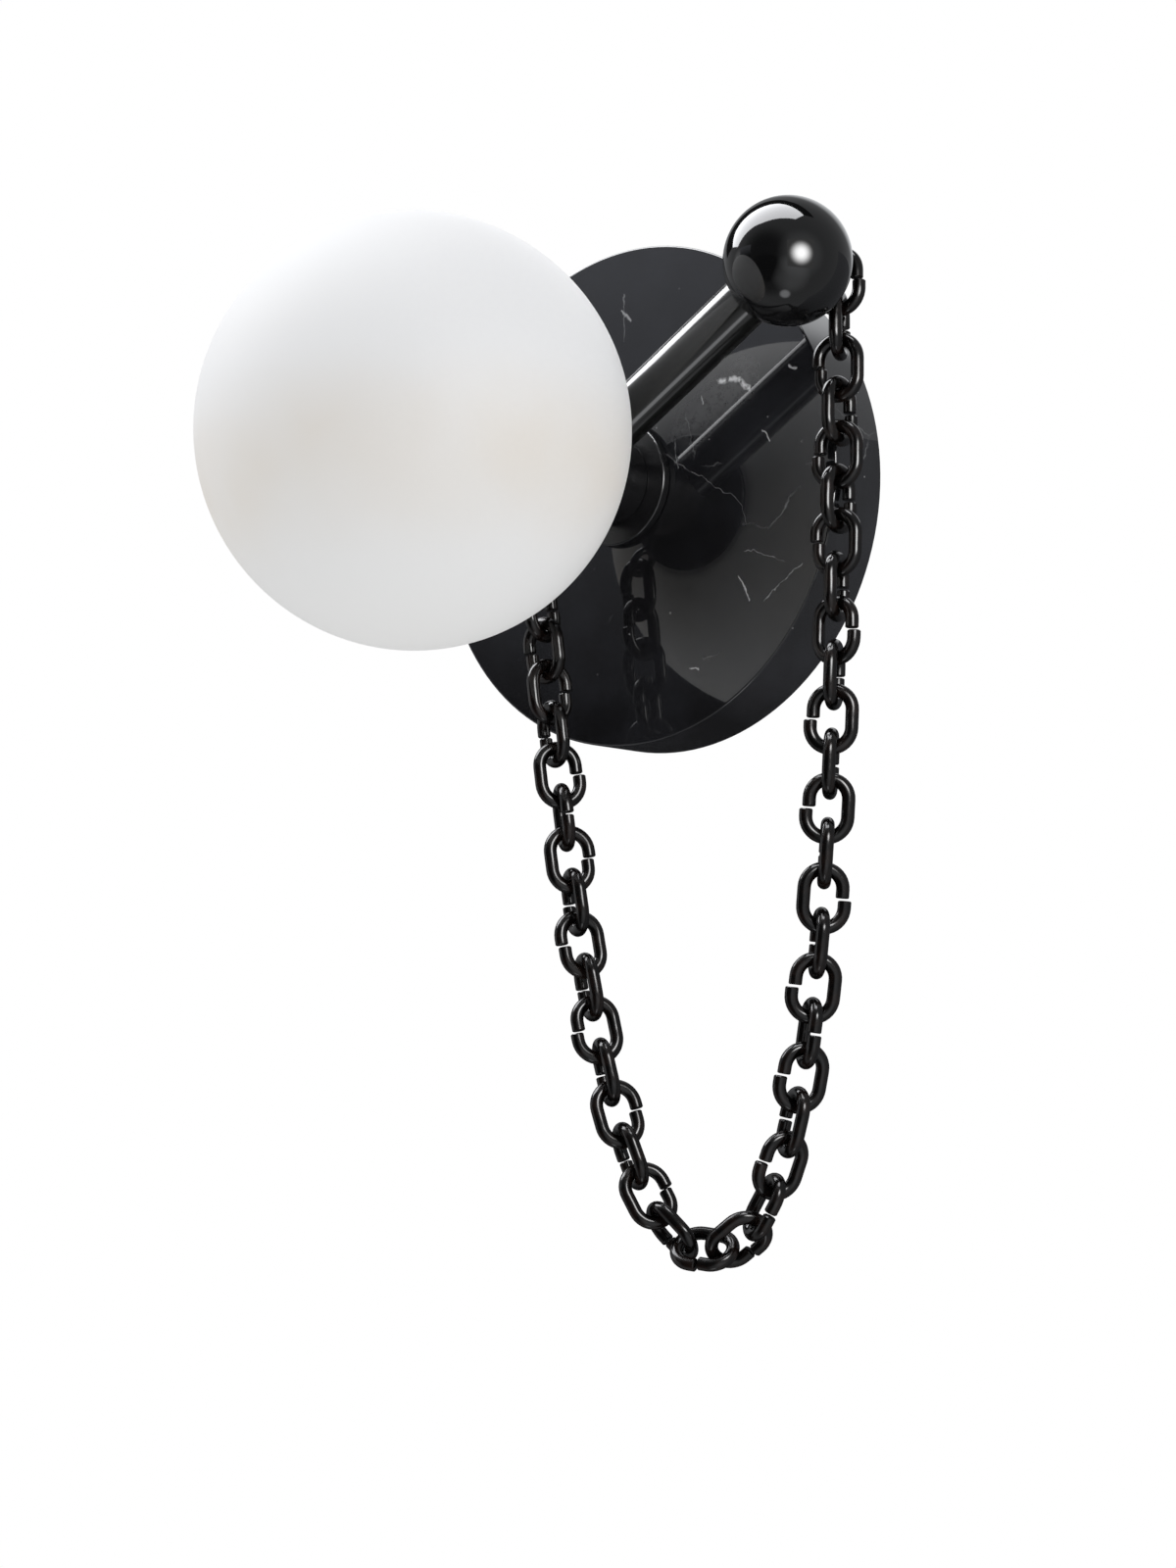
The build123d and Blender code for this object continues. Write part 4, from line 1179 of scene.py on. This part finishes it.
@dataclass
class Studio:
    """Camera, white surroundings, floor, lamps, and the cards that show in the polished metal."""

    camera_azimuth: float = 39.62
    camera_elevation: float = -7.87
    camera_roll: float = -1.97
    camera_distance: float = 1.2014
    target: tuple[float, float, float] = (-0.04697, 0.0, -0.11218)
    lens: float = 67.2165
    sensor: float = 36.0
    floor_height: float = -1.25
    floor_reach: float = 4.0
    surroundings: float = 0.73
    lamp_distance: float = 2.2
    lamps: tuple[Lamp, ...] = (
        Lamp("key_lamp", -62, 40, 1.6, 10.0), Lamp("fill_lamp", 85, 5, 1.6, 5.0),
        Lamp("back_lamp", -166, 36, 1.8, 24.0),
    )
    softbox_glow: Glow = Glow("#fbfcff", 11.0, 11.0)
    flap_glow: Glow = Glow("#ffffff", 0.02, 0.02)
    dark_glow: Glow = Glow("#f0f4ff", 0.0, 0.6, "Z", 0.22, 0.78)
    wall_glow: Glow = Glow("#f4f7ff", 0.018, 0.32, "X", -0.1, 0.5)
    softbox_outer: tuple[Pair, ...] = ((-79, 23), (-93, 36), (-97, 45), (-102, 57), (-121, 75), (112, 80), (92, 63))
    softbox_inner: tuple[Pair, ...] = ((-63, 22), (-54, 35), (-40, 47), (-24, 53), (-9, 58), (30, 62), (61, 58))
    flap_outer: tuple[Pair, ...] = ((-97, 16), (-116, 28), (-121, 38), (-128, 52), (-158, 72), (140, 71), (113, 55))
    card_distance: float = 2.0
    head_distance: float = 0.42
    head_way: Pair = (59, -4)
    head_half_angle: float = 24
    head_glow: Pair = (26, 0.7)
    dark_azimuth: float = -39.5
    dark_half_width: float = 0.42
    dark_heights: Pair = (-0.2, 0.8)
    wall_corners: tuple[tuple[float, float, float], ...] = (
        (-0.9, 0.3, -1.0), (0.5, 0.3, -1.0), (-0.9, 0.3, -0.06), (0.5, 0.3, 0.16),
    )
    tent_radius: float = 2.6
    tent_grey: float = 0.40
    tent_darkest: float = 0.02
    patch_core: float = 0.35
    patches: tuple[Patch, ...] = (
        Patch(-2, 2, 52, -0.34), Patch(-8, -35, 40, -0.28), Patch(42, -38, 38, 0.45), Patch(-54, 3, 20, 0.65),
        Patch(17, -73, 10, 2.4), Patch(-135, -30, 52, -0.36), Patch(175, -12, 30, 0.1), Patch(60, -4, 45, 0.35),
        Patch(-167, 34, 24, 0.8),
    )

    def camera(self) -> None:
        """Stands the camera where the photograph was taken from."""
        back = towards(self.camera_azimuth, self.camera_elevation)
        where = Vector(self.target) + back * self.camera_distance
        right = (-back).cross(UP).normalized()
        up = right.cross(-back)
        roll = math.radians(self.camera_roll)
        turned_right = right * math.cos(roll) + up * math.sin(roll)
        turned_up = up * math.cos(roll) - right * math.sin(roll)
        data = bpy.data.cameras.new("camera")
        data.lens = self.lens
        data.sensor_width = self.sensor
        camera = bpy.data.objects.new("camera", data)
        camera.matrix_world = (
            Matrix.Translation(where) @ Matrix((turned_right, turned_up, back)).transposed().to_4x4()
        )
        bpy.context.collection.objects.link(camera)
        bpy.context.scene.camera = camera

    def world(self) -> None:
        """Lights the object evenly from all round, and shows white behind it and in its gloss."""
        world = bpy.data.worlds.new("white_surroundings")
        tree = fresh_tree(world)
        path = add_node(tree, "LightPath").outputs
        seen = add_node(tree, "Math", (path["Is Camera Ray"], path["Is Glossy Ray"]), operation="MAXIMUM")
        seen = add_node(tree, "Math", (seen, path["Is Transmission Ray"]), operation="MAXIMUM")
        strength = add_node(tree, "MapRange", (seen, 0.0, 1.0, self.surroundings, 1.0))
        background = add_node(tree, "Background", {"Color": (1, 1, 1, 1), "Strength": strength})
        add_node(tree, "OutputWorld", {"Surface": background})
        bpy.context.scene.world = world

    def floor(self) -> None:
        """Lays the plain pale floor, well below the chain."""
        deselect()
        bpy.ops.mesh.primitive_grid_add(
            x_subdivisions=8, y_subdivisions=8, size=2 * self.floor_reach, location=(0, 0, self.floor_height)
        )
        floor = bpy.context.object
        floor.name = "floor"
        floor.data.materials.append(Moulded("pale_floor", "#eeedea", polish=(0.6, 0.75), grain=Cloud(3.0)).build())
        floor.visible_glossy = False

    def hang_lamp(self, lamp: Lamp) -> None:
        """Hangs a lamp that lights the object and doesn't show in its gloss.

        Args:
            lamp: the lamp.
        """
        data = bpy.data.lights.new(lamp.name, "AREA")
        data.size = lamp.side
        data.energy = lamp.power
        light = bpy.data.objects.new(lamp.name, data)
        way = towards(lamp.azimuth, lamp.elevation)
        turned = way.to_track_quat("Z", "Y").to_matrix().to_4x4()
        light.matrix_world = Matrix.Translation(way * self.lamp_distance) @ turned
        light.visible_camera = False
        light.visible_glossy = False
        bpy.context.collection.objects.link(light)

    def card(self, name: str, corners: list[Vector], columns: int, glow: Callable[[Tree], dict]) -> None:
        """Stands a card that shows only in polished surfaces.

        Args:
            name: the card's name.
            corners: its points, lower edge first, then the upper edge, the same way round.
            columns: number of points along each edge.
            glow: takes the material's tree and gives the emission's inputs.
        """
        deselect()
        bpy.ops.mesh.primitive_grid_add(x_subdivisions=columns - 1, y_subdivisions=1, size=1)
        card = bpy.context.object
        card.name = name
        for vertex, corner in zip(card.data.vertices, corners):
            vertex.co = corner
        self.show_in_gloss(card, glow)

    def show_in_gloss(self, card: Object, glow: Callable[[Tree], dict]) -> Material:
        """Makes a stage object glow, and lets only polished surfaces see it.

        Args:
            card: the stage object.
            glow: takes the material's tree and gives the emission's inputs.

        Returns:
            The glowing material.
        """
        material = bpy.data.materials.new(card.name)
        tree = fresh_tree(material)
        emission = add_node(tree, "Emission", glow(tree))
        add_node(tree, "OutputMaterial", {"Surface": emission})
        card.data.materials.append(material)
        card.visible_camera = False
        card.visible_diffuse = False
        card.visible_shadow = False
        card.visible_transmission = False
        return material

    def tent(self) -> None:
        """The dim studio round the object, as the ball mirrors it: grey, darker front left and back left."""
        deselect()
        bpy.ops.mesh.primitive_uv_sphere_add(segments=48, ring_count=24, radius=self.tent_radius)
        tent = bpy.context.object
        tent.name = "studio_tent"

        def glow(tree: Tree) -> dict:
            """A grey that rises and falls in soft patches, each towards one side of the room."""
            point = add_node(tree, "TexCoord").outputs["Object"]
            way = add_node(tree, "VectorMath", (point,), operation="NORMALIZE")
            shade = self.tent_grey
            for patch in self.patches:
                middle = towards(patch.azimuth, patch.elevation)
                near = add_node(tree, "VectorMath", (way, middle), operation="DOT_PRODUCT")
                edge, full = (math.cos(math.radians(patch.reach * share)) for share in (1, self.patch_core))
                fade = (near, edge, full, 0.0, patch.change)
                part = add_node(tree, "MapRange", fade, interpolation_type="SMOOTHSTEP")
                shade = add_node(tree, "Math", (shade, part), operation="ADD")
            held = add_node(tree, "Math", (shade, self.tent_darkest), operation="MAXIMUM")
            return {"Color": linear("#fafcff"), "Strength": held}

        material = self.show_in_gloss(tent, glow)
        material.cycles.emission_sampling = "NONE"

    def softbox(self, seen_from: Vector) -> None:
        """The long softbox up on the left, which draws the crescent on the ball and the band on the rod.

        Args:
            seen_from: centre of the ball, in metres.
        """
        corners = [seen_from + towards(*way) * self.card_distance for way in self.softbox_inner + self.softbox_outer]
        self.card("softbox", corners, len(self.softbox_inner), self.softbox_glow.inputs)
        flap = [seen_from + towards(*way) * self.card_distance for way in self.softbox_outer + self.flap_outer]
        self.card("softbox_flap", flap, len(self.softbox_outer), self.flap_glow.inputs)

    def window_head(self, seen_from: Vector) -> None:
        """A lamp head on the right, which shows as a soft-edged white spot in the ball.

        Args:
            seen_from: centre of the ball, in metres.
        """
        way = towards(*self.head_way)
        side = way.cross(UP).normalized()
        up = side.cross(way)
        reach = self.head_distance * math.tan(math.radians(self.head_half_angle))
        middle = seen_from + way * self.head_distance
        corners = [middle + side * reach * a + up * reach * b for b in (-1, 1) for a in (-1, 1)]

        def glow(tree: Tree) -> dict:
            """Bright in the middle and fading to the grey of the studio at the edge."""
            point = add_node(tree, "TexCoord").outputs["Object"]
            away = add_node(tree, "VectorMath", (point, middle), operation="DISTANCE")
            fade = (away, 0.0, reach, *self.head_glow)
            strength = add_node(tree, "MapRange", fade, interpolation_type="SMOOTHERSTEP")
            return {"Color": linear("#ffffff"), "Strength": strength}

        self.card("window_head", corners, 2, glow)

    def dark_card(self) -> None:
        """The unlit side of the room, front left, which the marble's face mirrors: black below, bluish grey above."""
        way = towards(self.dark_azimuth, 0)
        side = way.cross(UP).normalized() * self.dark_half_width
        middle = way * self.card_distance
        corners = [middle + side * a + Vector((0, 0, z)) for z in self.dark_heights for a in (-1, 1)]
        self.card("dark_side", corners, 2, self.dark_glow.inputs)

    def shaded_wall(self) -> None:
        """The shaded room behind, which the disc's rim and the links' edges mirror: black left, grey right."""
        self.card("shaded_wall", [Vector(corner) for corner in self.wall_corners], 2, self.wall_glow.inputs)

    def build(self, ball: Vector) -> None:
        """Sets the whole studio.

        Args:
            ball: centre of the ball, in metres.
        """
        self.camera()
        self.world()
        self.floor()
        for lamp in self.lamps:
            self.hang_lamp(lamp)
        self.softbox(ball)
        self.window_head(ball)
        self.tent()
        self.dark_card()
        self.shaded_wall()
        bpy.context.scene.view_settings.view_transform = "Standard"


def main() -> None:
    """Builds the finishes, the pieces and the studio, in that order."""
    logging.basicConfig(level=logging.INFO, format="%(name)s: %(message)s")
    dresser = Dresser.ready()
    dresser.dress_nodes()
    rod_and_ball = RodAndBall()
    ball = rod_and_ball.ball_centre()
    rod_and_ball.build(dresser)
    Globe().build(dresser)
    Chain().build(dresser, ball / MM)
    Studio().build(ball)
    deselect()


if __name__ == "__main__":
    main()
